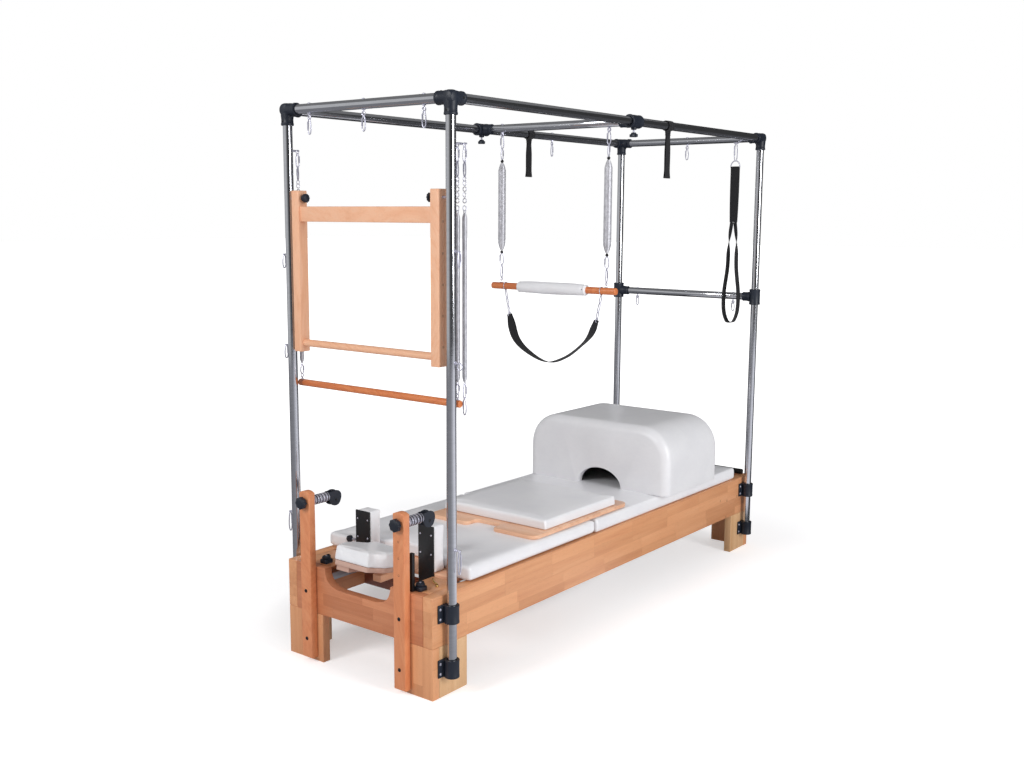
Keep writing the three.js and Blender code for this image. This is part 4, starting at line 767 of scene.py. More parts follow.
def makeCanopyTubes():
    for side, way in sides.items():
        y = way * postY
        makeObject(f"top_side_tube_{side}", [tubeWithBore((97, y, canopyTop), (2343, y, canopyTop))],
                   "chrome", "base", f"top_tube_{side}")
    for end, x in postX.items():
        makeObject(f"top_{end}_tube", [tubeWithBore((x, -371, canopyTop), (x, 371, canopyTop))],
                   "chrome", "base", f"top_tube_{end}")


def slidingBar(name, x, z, rail):
    # A bar that slides: its tube, and the clamps that are handed back, each a barrel round
    # the rail with a rim at both ends and a socket that swells towards the barrel.
    tube = evenRod([(17.3, 0), (17.5, 0.3)], (x, -336, z), (x, 336, z), 40)
    makeObject(f"{name}_tube", [tube], "chrome", name, name)
    clamps = []
    for way in sides.values():
        middle, reach = np.array([x, way * postY, z], float), np.array(rail) * 38
        clamps.append(evenRing([(18.4, 1), (19.4, 0), (25.4, 0), (27, 1.8), (27, 7), (26, 9.5)],
                               middle - reach, middle + reach))
        socket = [(0, 18.6), (24.4, 18.6), (24.4, 30), (22.6, 38), (21.8, 55), (22.5, 57), (22.5, 60.6),
                  (21, 62), (17.6, 62)]
        clamps.append(turned(socket, middle, middle - (0, way, 0), 36))
    return clamps


def makeCrossbar():
    x, z = crossbarX, canopyTop
    clamps = slidingBar("crossbar", x, z, alongX)
    for side, way in sides.items():
        y = way * postY
        # A boss under the barrel takes the knob's thread.
        clamps.append(closedRing([(5, 0), (5, 9), (9.5, 9), (11.5, 7), (11.5, 0)], (x, y, z - 24),
                                 (x, y, z - 33), 20))
        stem = turned([(0, 0), (3.6, 0.4), (4, 1), (4, 31), (0, 31)], (x, y, z - 18.4), (x, y, z - 60), 12)
        makeObject(f"crossbar_knob_stem_{side}", [stem], "zinc", f"crossbar_knob_{side}")
        wing = slab(star((x, y), 19, 0.16, 4, 48), z - 62, z - 50, 2.6, 2, 3)
        hub = turned([(0, 0), (8, 0), (10.5, 1.5), (11.5, 8), (12, 10)], (x, y, z - 44), (x, y, z - 54), 24)
        makeObject(f"crossbar_knob_grip_{side}", [wing, hub], "casting", f"crossbar_knob_{side}",
                   f"crossbar_knob_{side}")
    makeObject("crossbar_clamps", clamps, "casting", "crossbar")


def makeMidBar():
    clamps = slidingBar("mid_bar", postX["foot"], midBarZ, alongZ)
    makeObject("mid_bar_clamps", clamps, "casting", "mid_bar")


trapezeSettings = {
    "springY": 280, "coil": (17, 3.2, 1912, 1528), "barZ": 1370, "barHalf": 330, "barRadius": 15,
    "hooks": [(2031, 1972, alongY, 4.8, 10), (1978, 1925, alongX), (1518, 1462, alongY, 4.8, 12),
              (1466, 1404, alongX)],
    "rings": [(1921, alongY, 5.5, 1.4), (1518, alongY, 5.5, 1.4)],
    "stops": (1912, 1513), "stopRadius": 7.2,
    "slingY": 234, "slingTop": 1245, "slingDrop": 200, "slingStrapY": 256, "slingStrapTop": 1352,
    # across and down, as shares of the sling's half width and of its drop
    "slingShares": [[1, 0], [0.84, 0.53], [0.5, 0.84], [0.08, 1], [-0.3, 0.87], [-0.62, 0.62], [-0.86, 0.35],
                    [-1, 0]],
}


def makeTrapeze():
    s, x = trapezeSettings, crossbarX
    for side, way in sides.items():
        y = way * s["springY"]
        makeObject(f"trapeze_coil_{side}", [coil(x, y, *s["coil"])], "spring", "trapeze",
                   f"trapeze_spring_{side}")
        metal = hangers(x, y, s["hooks"], s["rings"]) + eyeBolt(x, y, 1382, -18, 2.2, 6, alongY)
        metal.append(turned([(0, 0), (7.5, 0), (8, 0.8), (8, 1.8), (4, 2.2), (0, 2.2)], (x, y, 1384.6),
                            (x, y, 1390), 20))
        makeObject(f"trapeze_hooks_{side}", metal, "zinc", "trapeze")
        r = s["stopRadius"]
        ball = [(r * math.sin(a), r - r * math.cos(a)) for a in np.linspace(0, math.pi, 9)]
        balls = [turned(ball, (x, y, z), (x, y, z + 2 * r), 16) for z in s["stops"]]
        makeObject(f"trapeze_stops_{side}", balls, "rubber", "trapeze")
        bolts = eyeBolt(x, y, 2043.5, 10, 3.0, 6.5, alongX)
        bolts.append(turned([(0, 0), (8, 0), (8, 2), (5.6, 2.2), (5.6, 5), (0, 5)], (x, y, 2043.6),
                            (x, y, 2038), 6))
        makeObject(f"trapeze_eye_bolts_{side}", bolts, "zinc", "crossbar")
        makeObject(f"trapeze_stud_tops_{side}", [screw((x, y, 2078.3), alongZ, 6, 3.2)], "zinc", "crossbar")
    z, half = s["barZ"], s["barHalf"]
    makeObject("trapeze_wood", [roundedRod(s["barRadius"], (x, -half, z), (x, half, z), 3.5, 32)], "orangeY",
               "trapeze", "trapeze_bar")
    sleevePad("trapeze_pad", x, z)
    makeSling()


def sleevePad(name, x, z):
    # The grip sleeve: soft vinyl foam round the bar, fuller in the middle, with a rolled hem
    # at each end and small creases that run round it near the hems.
    y = np.linspace(-183, 183, 74)
    angle = np.linspace(0, 2 * np.pi, 41)
    s, a = np.meshgrid(y, angle, indexing="ij")
    t = np.abs(s) / 183
    body = 21.4 + 5.2 * np.sqrt(np.clip(1 - t ** 2.6, 0, 1))
    hem = 1.2 * np.exp(-((t - 0.965) / 0.02) ** 2) - 1.0 * np.exp(-((t - 0.92) / 0.016) ** 2)
    crease = 0.35 * np.sin(s * 0.16 + 2.2 * np.sin(a)) * t ** 2 + 0.5 * np.sin(a * 3 + s * 0.03)
    end = np.clip((1 - t) / 0.012, 0, 1) ** 0.5
    radius = (body + hem + crease) * end + 15.4 * (1 - end)
    rings = np.stack([x + radius * np.cos(a), s, z + radius * np.sin(a)], -1)
    rings[:, -1] = rings[:, 0]
    inner = 15.3
    back = np.stack([np.full(41, x) + inner * np.cos(angle), np.full(41, 183.0), z + inner * np.sin(angle)],
                    -1)
    front = back * (1, -1, 1)
    grid = np.concatenate([rings, back[None], front[None], rings[:1]])
    grid[:, -1] = grid[:, 0]
    thing = makeObject(name, [gridPart(grid, False, False)], "whiteVinyl", "trapeze", "trapeze_sleeve",
                       smooth=60)
    makeObject(name + "_screws",
               [screw((x - 22.0, way * 170, z + 3), (-1, 0, 0.1), 2.6, 1.2) for way in (-1, 1)], "steel",
               "trapeze")


def makeSling():
    # One band in a deep uneven curve that turns on itself as it rises to each hook.
    s, x = trapezeSettings, crossbarX
    shares = np.array(s["slingShares"])
    line = catmull(np.stack([np.full(len(shares), float(x)), shares[:, 0] * s["slingY"],
                             s["slingTop"] - shares[:, 1] * s["slingDrop"]], -1), 90)
    t = np.linspace(0, 1, 90)
    turn = 0.9 * np.exp(-(t / 0.16) ** 2) - 0.7 * np.exp(-((t - 1) / 0.14) ** 2) + 0.16 * np.sin(t * 9)
    across = np.cross(unit(np.gradient(line, axis=0)), alongX)
    facing = np.cos(turn)[:, None] * np.array(alongX) + np.sin(turn)[:, None] * across
    width = 38 - 14 * np.exp(-(t / 0.05) ** 2) - 14 * np.exp(-((1 - t) / 0.05) ** 2)
    makeObject("sling_webbing", [band(line, facing, width, 3)], "webbing", "trapeze", "trapeze_sling")
    metal = []
    for way in sides.values():
        top = np.array([x, way * s["slingStrapY"], s["slingStrapTop"]])
        fall = np.array([x, way * s["slingY"], s["slingTop"] + 2]) - top
        metal += [slantHook(top + fall * a, top + fall * b, 9, 4.2)
                  for a, b in ((0.0, 0.36), (0.3, 0.72), (0.66, 1.0))]
        metal.append(ringPart((x, way * s["slingY"], s["slingTop"]), (0, 1, 0.2), 9, 1.8))
        metal.append(ringPart((x, way * s["slingStrapY"], s["barZ"]), alongY, 16.6, 1.5, 28))
    makeObject("sling_hooks", metal, "zinc", "trapeze")


pushSettings = {"x": 70, "near": 324, "far": 362, "bottom": 1172, "top": 1768, "halfDepth": 22,
                "rail": (1655, 1710), "dowelZ": 1205, "dowelRadius": 13.5, "pivotZ": 1740}


def makePushThrough():
    s = pushSettings
    x, near, far, pivot = s["x"], s["near"], s["far"], s["pivotZ"]
    for side, way in sides.items():
        stile = roundBlock((x - s["halfDepth"], way * near, s["bottom"]),
                           (x + s["halfDepth"], way * far, s["top"]), 3, 3)
        makeObject(f"push_stile_{side}", [stile], "paleZ", "push_through")
        # the stile's holes are black cups: painted shade for their depth
        holes = []
        for z in range(1240, 1700, 105):
            holes.append(hole((x + s["halfDepth"], way * (near + far) / 2, z), alongX, 3.2))
            holes.append(hole((x, way * far, z), (0, way, 0), 3.2))
        makeObject(f"push_stile_holes_{side}", holes, "rubber", "push_through")
        at = lambda y: (x, way * y, pivot)
        grip = slab(star((x, pivot), 15, 0.05, 10, 60)[:, ::-1], *sorted((way * 312, way * 303.6)), 1.8, 1, 3)
        neck = turned([(0, 0), (9, 0), (8, 3), (8, 11), (12, 13)], at(323.6), at(311), 24)
        cap = turned([(12, 0), (10, 1.6), (6, 2.4), (0, 2.6)], at(304), at(300), 24)
        makeObject(f"push_knob_grip_{side}", [grip, neck, cap], "casting", f"push_knob_{side}",
                   f"push_knob_{side}")
        bolt = turned([(0, 0), (4.6, 0), (5, 0.6), (5, 65.6), (0, 66)], at(323.6), at(389.4), 16)
        makeObject(f"push_knob_bolt_{side}", [bolt], "zinc", f"push_knob_{side}")
    low, high = s["rail"]
    makeObject("push_rail", [roundBlock((x - 15, -near - 1, low), (x + 15, near + 1, high), 3, 3)], "paleY",
               "push_through", "push_through_frame")
    dowel = rod(s["dowelRadius"], (x, -near - 4, s["dowelZ"]), (x, near + 4, s["dowelZ"]), 32)
    makeObject("push_dowel", [dowel], "paleY", "push_through")


springSettings = {
    "coil": (8.5, 1.8, 1689, 1119, 14), "hooks": [(1908, 1852, alongX), (1860, 1806, (0.4, 1, 0))],
    "rings": [(1911, alongY, 6.4, 1.6), (1800, alongY, 7, 1.6), (1704, alongY, 8.5, 1.6),
              (1692, alongX, 4.6, 1.2), (1114, alongY, 5, 1.3)],
    "chainTop": 1786, "chainStep": 19, "studZ": 1915}


def hangingSpring(name, x, y, node, body, tailHooks):
    # A thin close-wound spring on a chain of snap hooks and rings.
    s = springSettings
    makeObject(f"{name}_coil", [coil(x, y, *s["coil"])], "spring", body, node)
    metal = hangers(x, y, s["hooks"] + tailHooks, s["rings"])
    metal += [ringPart((x, y, s["chainTop"] - s["chainStep"] * k), alongX if k % 2 else alongY, 7.5, 1.5, 16)
              for k in range(4)]
    makeObject(f"{name}_hooks", metal, "zinc", body)


rollDownSettings = {"x": 110, "z": 1044, "half": 405, "radius": 13, "springY": 392, "spare": (121, -414)}


def makeRollDown():
    s, z = rollDownSettings, springSettings["studZ"]
    x, barZ = s["x"], s["z"]
    makeObject("roll_down_wood",
               [roundedRod(s["radius"], (x, -s["half"], barZ), (x, s["half"], barZ), 3, 32)], "orangeY",
               "roll_down", "roll_down_bar")
    studs = []
    for side, way in sides.items():
        y = way * s["springY"]
        hangingSpring(f"roll_spring_{side}", x, y, f"roll_down_spring_{side}", "roll_down",
                      [(1114, 1075, alongX)])
        metal = [ringPart((x, y, 1070), alongY, 6, 1.8),
                 turned([(0, 0), (5.5, 0), (5.5, 1.5), (3, 1.8), (3, 10), (0, 10)], (x, y, 1056.6),
                        (x, y, 1070), 14)]
        makeObject(f"roll_down_eye_{side}", metal, "zinc", "roll_down")
        studs.append(rod(4, (postX["head"], way * 403, z), (x, way * 403, z)))
        studs.append(turned([(0, 0), (2.6, 0), (3, 0.5), (3, 26), (0, 26)], (x, way * 384, z),
                            (x, way * 410, z), 12))
    spareX, spareY = s["spare"]
    hangingSpring("spare", spareX, spareY, "spare_spring", "spare_spring",
                  [(1114, 1060, alongX), (1068, 1004, alongY, 4.2, 8)])
    studs.append(rod(4, (x, -403, z), (spareX, -403, z)))
    studs.append(rod(3, (spareX, -403, z), (spareX, -423, z)))
    makeObject("spring_studs", studs, "zinc", "base")


# each band's place along its tube and its drop below the tube's middle
tubeLoopSettings = {"left": (1553, 197), "right": (1474, 218)}


def makeTubeLoops():
    # A doubled band hangs from its own turn round the tube: narrow where it is drawn
    # together just under the tube, and flared where it ends in a fold.
    for side, (x, drop) in tubeLoopSettings.items():
        y = sides[side] * postY
        a = np.linspace(0, 2 * np.pi, 33)
        wrap = np.stack([np.full(33, x), y + 20.4 * np.sin(a), canopyTop - 20.4 * np.cos(a)], -1)
        parts = [band(wrap, alongX, 45 - 8 * np.exp(-((np.pi - np.abs(a - np.pi)) / 0.7) ** 2), 3)]
        z = canopyTop - np.linspace(19, drop, 40)
        t = np.linspace(0, 1, 40)
        width = 30 + 8 * np.clip((t - 0.1) / 0.3, 0, 1) + 12 * np.exp(-(t / 0.08) ** 2)
        width += 7 * np.clip((t - 0.75) / 0.25, 0, 1) ** 2
        gap = 1.7 + 1.2 * np.sin(np.pi * t) + 1.8 * np.clip((t - 0.85) / 0.15, 0, 1)
        parts += [band(np.stack([np.full(40, x), y + way * gap, z], -1), alongX, width, 2.6)
                  for way in (-1, 1)]
        fold = np.linspace(0, np.pi, 9)
        tuck = np.stack([np.full(9, x), y + 3.4 * np.cos(fold), canopyTop - drop + 2 - 1.6 * np.sin(fold)],
                        -1)
        parts.append(band(tuck, alongX, 45, 2.2))
        parts.append(band([(x, y - 5.6, canopyTop - 38), (x, y + 5.6, canopyTop - 38)], alongX, 33, 2))
        makeObject(f"tube_loop_webbing_{side}", parts, "webbing", f"tube_loop_{side}", f"tube_loop_{side}")


longLoopSettings = {
    "x": 2328, "y": -289, "ringZ": 1922, "bandLength": 270, "loopTop": 1656, "loopLength": 496,
    "loopHalf": 38, "spread": 9,
    # how far out and how far down the loop's half goes, as shares of its half width and length
    "shares": [[0, 0], [0.35, 0.2], [0.5, 0.45], [0.95, 0.7], [0.95, 0.88], [0.5, 0.985], [0, 1]]}


def makeLongLoop():
    s = longLoopSettings
    x, y, top = s["x"], s["y"], s["ringZ"]
    metal = snapHook(x, y, 2046, 1950, alongY, 4.8, 9.5)
    arc = np.linspace(0, np.pi, 14)[:, None]
    bow = np.array([x, y, top]) + np.cos(arc) * np.array([0, 25, 0]) + np.sin(arc) * np.array([0, 0, 33])
    metal.append(sweep(bow, 2.6, 10, side=alongX, loop=True))
    makeObject("long_loop_ring", metal, "zinc", "long_loop")
    t = np.linspace(0, 1, 30)
    line = np.stack([np.full(30, x), np.full(30, y), top + 4 - t * s["bandLength"]], -1)
    parts = [band(line + (way * 1.7, 0, 0), alongY, 48 - 8 * t ** 3, 3) for way in (-1, 1)]
    over = np.linspace(0, np.pi, 9)
    turn = np.stack([x + 4.4 * np.cos(over), np.full(9, y), top + 4.4 * np.sin(over)], -1)
    parts.append(band(turn, alongY, 47, 2.6))
    out, down = np.array(s["shares"]).T
    right, left = [np.stack([np.full(7, x), y + way * (out * s["loopHalf"] + s["spread"] * (1 - down)),
                             s["loopTop"] - down * s["loopLength"]], -1) for way in (-1, 1)]
    path = catmull(np.vstack([right, left[::-1][1:]]), 120)
    t = np.linspace(0, 1, 120)
    lean = np.clip(np.minimum(t, 1 - t) / 0.16, 0, 1)
    lean = (lean * lean * (3 - 2 * lean))[:, None]
    facing = lean * np.array(alongX) + (1 - lean) * np.array([0.25, 1, 0])
    parts.append(band(path, facing, 22 + 18 * lean[:, 0], 3))
    makeObject("long_loop_webbing", parts, "webbing", "long_loop", "long_loop")
    hook = [rod(3, (x, y - 12, 2040), (x, y + 12, 2040)),
            turned([(0, 0), (3.6, 0), (4, 44), (0, 44)], (2366, y - 8, 2053), (x, y - 8, 2040), 12)]
    makeObject("long_loop_hook", hook, "zinc", "base")


hookSettings = {
    # x, y and the side that the ring faces, for the eye bolts down through the top tubes
    "tube": [(70, 279, alongX), (70, 2, alongX), (70, -281, alongX), (1739, 398, alongY), (2370, 5, alongX)],
    # side, height and hook length of the head posts' own eye bolts; nought has a ring instead
    "post": [(1, 1533, 54), (1, 1190, 54), (1, 536, 80), (-1, 1563, 54), (-1, 540, 86), (-1, 1190, 0)],
    "midBarY": (-281, 279)}


def makeEyeBolts():
    low = canopyTop - tubeRadius
    for number, (x, y, facing) in enumerate(hookSettings["tube"]):
        metal = [screw((x, y, canopyTop + tubeRadius - 0.5), alongZ, 6, 3.4)]
        metal += eyeBolt(x, y, low + 1, 16, 2.6, 6.5, facing)
        metal.append(rod(7.5, (x, y, low + 0.6), (x, y, low - 2.4), 6))
        metal += snapHook(x, y, low - 18, low - 77, alongY if facing == alongX else alongX, 4.6, 9.5)
        makeObject(f"tube_eye_bolt_{number + 1}", metal, "zinc", "base")
    # The posts' own eye bolts stand out to the side.
    x = postX["head"]
    for number, (way, z, length) in enumerate(hookSettings["post"]):
        at = lambda reach: (x, way * (postY + tubeRadius + reach), z)
        nut = [(0, 0), (7, 0), (7, 2.6), (4, 3), (3, 3.2), (3, 12), (0, 12)]
        metal = [turned(nut, at(-1), at(12), 6), ringPart(at(16), alongZ, 5.5, 1.9)]
        if length:
            metal += snapHook(x, at(18)[1], z + 3, z - length, alongX)
        else:
            metal.append(ringPart((x, at(20)[1], z - 12), alongX, 11, 1.8, 24))
        makeObject(f"post_eye_bolt_{number + 1}", metal, "zinc", "base")
    x, low = postX["foot"], midBarZ - tubeRadius
    for number, y in enumerate(hookSettings["midBarY"]):
        metal = [screw((x, y, midBarZ + tubeRadius - 0.5), alongZ, 5.5, 3)]
        metal += eyeBolt(x, y, low + 1, 14, 2.6, 6.5, alongX) + snapHook(x, y, low - 10, low - 60, alongY)
        makeObject(f"mid_bar_eye_bolt_{number + 1}", metal, "zinc", "mid_bar")


baseSettings = {
    "end": 2441, "inner": 325, "outer": 370, "low": 189, "top": 373, "legReach": 186, "legBoard": 35,
    "endBoard": 35, "scoopZ": 302, "scoopHalf": 168, "scoopFlat": 78, "innerGap": 324.7,
    # x, z and radius of the bolt holes near the foot end
    "holes": [(2132, 291, 4.5), (2203, 279, 4.5), (2310, 281, 5.0), (2195, 198, 5.0)]}


def makeBaseWood():
    s = baseSettings
    outer, low, top, half = s["outer"], s["low"], s["top"], s["innerGap"]
    for side, way in sides.items():
        makeObject(f"side_board_{side}",
                   [roundBlock((0, way * s["inner"], low), (s["end"], way * outer, top), 2.4, 3)], "beechX",
                   "base", f"side_rail_{side}")
        for end, x, inward in (("head", 0, 1), ("foot", s["end"], -1)):
            long = roundBlock((x + inward * (s["legBoard"] + 0.2), way * (outer - s["legBoard"]), 0),
                              (x + inward * s["legReach"], way * outer, low - 0.3), 2.4, 3)
            short = roundBlock((x, way * (outer - s["legReach"]), 0),
                               (x + inward * s["legBoard"], way * outer, low - 0.3), 2.4, 3)
            makeObject(f"leg_side_board_{end}_{side}", [long], "legPale", "base", f"leg_{end}_{side}")
            makeObject(f"leg_end_board_{end}_{side}", [short], "beechZ", "base")
    # The head rail's outline in (y, z), with its shallow scoop.
    right = bowed((s["scoopHalf"], top), (s["scoopHalf"], s["scoopZ"]), (s["scoopFlat"], s["scoopZ"]), 13)
    head = np.vstack([[(-half, low), (0, low), (half, low), (half, top)], right, right[::-1] * (-1, 1),
                      [(-half, top)]])
    makeObject("head_board", [slab(head, 0, s["endBoard"], 2.2, 0, 2)], "endBoard", "base", "end_rail_head")
    makeObject("foot_board",
               [roundBlock((s["end"] - s["endBoard"], -half, low), (s["end"], half, top), 2.4, 3)],
               "endBoard", "base", "end_rail_foot")
    holes = [hole((x, way * outer, z), (0, way, 0), r) for way in sides.values() for x, z, r in s["holes"]]
    makeObject("rail_bolt_heads", holes, "steel", "base")


def makeTracks():
    # The running tracks keep the nodes' own shape and get worn edges.
    for side in sides:
        mesh = bpy.data.meshes.new(f"track_rail_{side}")
        weld(mesh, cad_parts[f"track_{side}"])
        thing = placeObject(f"track_rail_{side}", mesh, "aluminium", "base", f"track_{side}")
        edge = thing.modifiers.new("edge", "BEVEL")
        edge.width, edge.segments, edge.limit_method = 0.0008, 2, "ANGLE"
        edge.angle_limit, edge.harden_normals = math.radians(35), False


springBarSettings = {"x": 2060, "z": 236, "count": 4, "step": 110, "near": 26, "far": 494}


def makeSpringBar():
    s, half = springBarSettings, baseSettings["innerGap"]
    x, z = s["x"], s["z"]
    makeObject("spring_bar_rod", [evenRod([(0, 0), (11, 0.6)], (x, -half, z), (x, half, z), 24)], "steel",
               "base", "spring_bar")
    for i in range(s["count"]):
        y = (i - (s["count"] - 1) / 2) * s["step"]
        # Each spring lies along x: an upright coil with its axes exchanged.
        points, faces, _ = coil(0, 0, 13, 2.4, x - s["near"], x - s["far"], 14)
        lying = np.stack([points[:, 2], y + points[:, 0], z + points[:, 1]], -1)
        makeObject(f"carriage_spring_{i + 1}", [(lying, faces, None)], "spring", "base")
        metal = [ringPart((x - 508, y, z), alongY, 11, 2.0), ringPart((x - 8, y, z), alongY, 16, 2.2)]
        makeObject(f"carriage_spring_eyes_{i + 1}", metal, "zinc", "base")


riserSettings = {
    "y": 240, "half": 27, "bottom": 18, "shoulder": 330, "crown": (657, 673), "front": -30.3, "back": -0.3,
    "boltZ": 622, "barrelRings": (28.5, 39, 57, 71), "grooves": (21, 33.4, 48, 63, 76),
    "sheave": (118.5, 606),
    # the pulley's cheek, from its swivel outwards and up from the bolt's middle
    "cheek": [(0, -13), (10, -28), (26, -36), (46, -33), (57, -14), (57, 3), (46, 15), (28, 18),
              (13.6, 15.2), (0, 13), (0, -13)]}


def makeRisers():
    s = riserSettings
    front, back, boltZ = s["front"], s["back"], s["boltZ"]
    for side, way in sides.items():
        y = way * s["y"]
        right, left, (low, high) = y + s["half"], y - s["half"], s["crown"]
        crown = bowed((right, low), (y, high), (left, low), 9)
        foot = [(left, s["bottom"]), (y, s["bottom"]), (right, s["bottom"]), (right, s["shoulder"])]
        outline = np.vstack([foot, crown, [(left, s["shoulder"])]])
        makeObject(f"riser_board_{side}", [slab(outline, front, back, 3, 0, 3)], "riser", "base",
                   f"riser_{side}")
        if side == "right":
            # the riser's holes are black cups: painted shade for their depth
            drilled = [hole((x, y, z), (face, 0, 0), 3.2) for x, face in ((front, -1), (back, 1))
                       for z in (560, 500, 439)]
            makeObject("riser_holes", drilled, "rubber", "base")
        caps = [screw((front, y, z), (-1, 0, 0), 7.2, 3.0) for z in (280, 93)]
        makeObject(f"riser_screws_{side}", caps, "steel", "base")
        makeRiserBolt(side, y, boltZ)
        makePulley(side, y, boltZ)


def makeRiserBolt(side, y, z):
    # The clamp knob in front of the riser and the ringed barrel behind it.
    at = lambda x: (x, y, z)
    grip = slab(star((y, z), 24, 0.06, 8, 60), -53.5, -37, 2.6, 0, 3)
    cap = turned([(20, 0), (16, 1.8), (9, 2.7), (0, 3.0)], at(-53.5), at(-60), 30)
    neck = turned([(0, 0), (13, 0), (13.5, 1), (11, 4), (12, 7.5)], at(-30.6), at(-45), 30)
    makeObject(f"riser_knob_{side}", [grip, cap, neck], "casting", f"riser_bolt_{side}", f"riser_bolt_{side}")
    rim = [(17, -4), (18.6, -2.4), (19, 0), (18.6, 2.4), (17, 4)]
    rings = [(radius, middle + dx) for middle in riserSettings["barrelRings"] for radius, dx in rim]
    neckEnd, farEnd = [(0, 0), (14, 0), (15, 0.8), (15, 12), (17, 13)], [(17, 84), (16.2, 84.8), (0, 84.8)]
    barrel = turned(neckEnd + rings + farEnd, at(0.3), at(85), 40)
    makeObject(f"riser_barrel_{side}", [barrel, rod(8.5, at(84), at(104), 20)], "zinc", f"riser_bolt_{side}")
    grooves = [evenRing([(17.1, 0), (18.6, 0.6)], at(x), at(x + 3), 36) for x in riserSettings["grooves"]]
    makeObject(f"riser_barrel_grooves_{side}", grooves, "rubber", f"riser_bolt_{side}")


def makePulley(side, y, z):
    # Two cheek plates round a sheave, on a swivel neck.
    ring = catmull(riserSettings["cheek"], 49)[:-1]
    ring = np.stack([z + ring[:, 1], 85.6 + ring[:, 0]], -1)
    housing = [slab(ring, *sorted((y + face * 14, y + face * 9.5)), 2.2, 1, 3) for face in (-1, 1)]
    housing.append(turned([(8.9, 0), (13.5, 0), (14, 1), (14, 14), (8.9, 14)], (85.9, y, z), (100, y, z), 30))
    makeObject(f"pulley_cheeks_{side}", housing, "casting", f"pulley_{side}", f"pulley_{side}")
    x, low = riserSettings["sheave"]
    sheave = closedRing([(8, 0), (19, 0), (21, 1.5), (16, 6), (21, 10.5), (19, 12), (8, 12)],
                        (x, y - 6, low), (x, y + 6, low), 36)
    makeObject(f"pulley_sheave_{side}", [sheave], "rubber", f"pulley_{side}")
    axle = [screw((x, y + face * 14, low), (0, face, 0), 5.5, 2) for face in (-1, 1)]
    makeObject(f"pulley_axle_{side}", axle, "steel", f"pulley_{side}")


cornerPieces = {"cleats": [(45, -273), (54, 216)], "knob": (226, 436),
                "brassHook": [(158, -232, 376), (150, -240, 379), (138, -252, 380), (128, -268, 377),
                              (124, -284, 375.6), (112, -296, 375.6), (104, -292, 375.6)]}


def makeHeadCorners():
    # A small board fills each corner behind the head rail and carries a rope cleat. A thin
    # stay stands behind the right upright, and a brass hook lies on the right board.
    s, half = cornerPieces, baseSettings["innerGap"]
    boards = [roundBlock((35.3, way * 205, 355), (189, way * half, 373), 1.6, 2) for way in (-1, 1)]
    makeObject("corner_boards", boards, "beechX", "base")
    cleats = []
    for x, y in s["cleats"]:
        cleats.append(roundBlock((x - 18, y - 18, 373.2), (x + 18, y + 18, 390), 4, 3))
        cleats.append(turned([(0, 0), (15, 0), (17, 2), (17.5, 7), (14, 11), (0, 12)], (x, y, 389.5),
                             (x, y, 402), 10))
        cleats.append(ringPart((x + 14, y + 8, 392), (0.4, 1, 0.3), 9, 3.4))
    makeObject("rope_cleats", cleats, "casting", "base")
    makeObject("rope_cleat_bolts", [screw((x, y, 401.2), alongZ, 4.4, 2) for x, y in s["cleats"]], "zinc",
               "base")
    makeObject("brass_hook", [sweep(catmull(s["brassHook"], 40), 3, 10)], "brass", "base")
    makeObject("corner_stay", [roundBlock((12, -266, 373.2), (26, -250, 512), 2, 2)], "steel", "base")
    y, z = s["knob"]
    knob = turned([(0, 0), (11.5, 0), (13, 1.5), (13, 14), (11.5, 15.5), (0, 15.5)], (194.6, y, z),
                  (179, y, z), 12)
    makeObject("height_knob", [knob], "casting", "carriage")
    makeObject("height_knob_arm", [rod(5, (191, y - 25, z), (191, y + 3, z))], "zinc", "carriage")
    # The cross board's dark wood is painted shade for the shade under the carriage.
    beam = roundBlock((360, -half, 189.3), (385, half, 265), 2, 2)
    makeObject("cross_board", [beam], "paintedShadeBoard", "base")


padSettings = {
    # voxel and largest swelling in millimetres, pressure and fill
    "carriage_cushion": {"voxel": 9, "swell": 4, "pressure": 3.0, "fill": 0.85},
    "filler_cushion": {"voxel": 10, "swell": 4, "pressure": 3.0, "fill": 0.85},
    "headrest_cushion": {"voxel": 5, "swell": 4, "pressure": 4.0, "fill": 0.8},
    "shoulder_cushion_right": {"voxel": 4, "swell": 3, "pressure": 4.0, "fill": 0.85},
    "shoulder_cushion_left": {"voxel": 4, "swell": 3, "pressure": 4.0, "fill": 0.85},
    "board_cushion": {"voxel": 7, "swell": 4, "pressure": 3.5, "fill": 0.85},
}


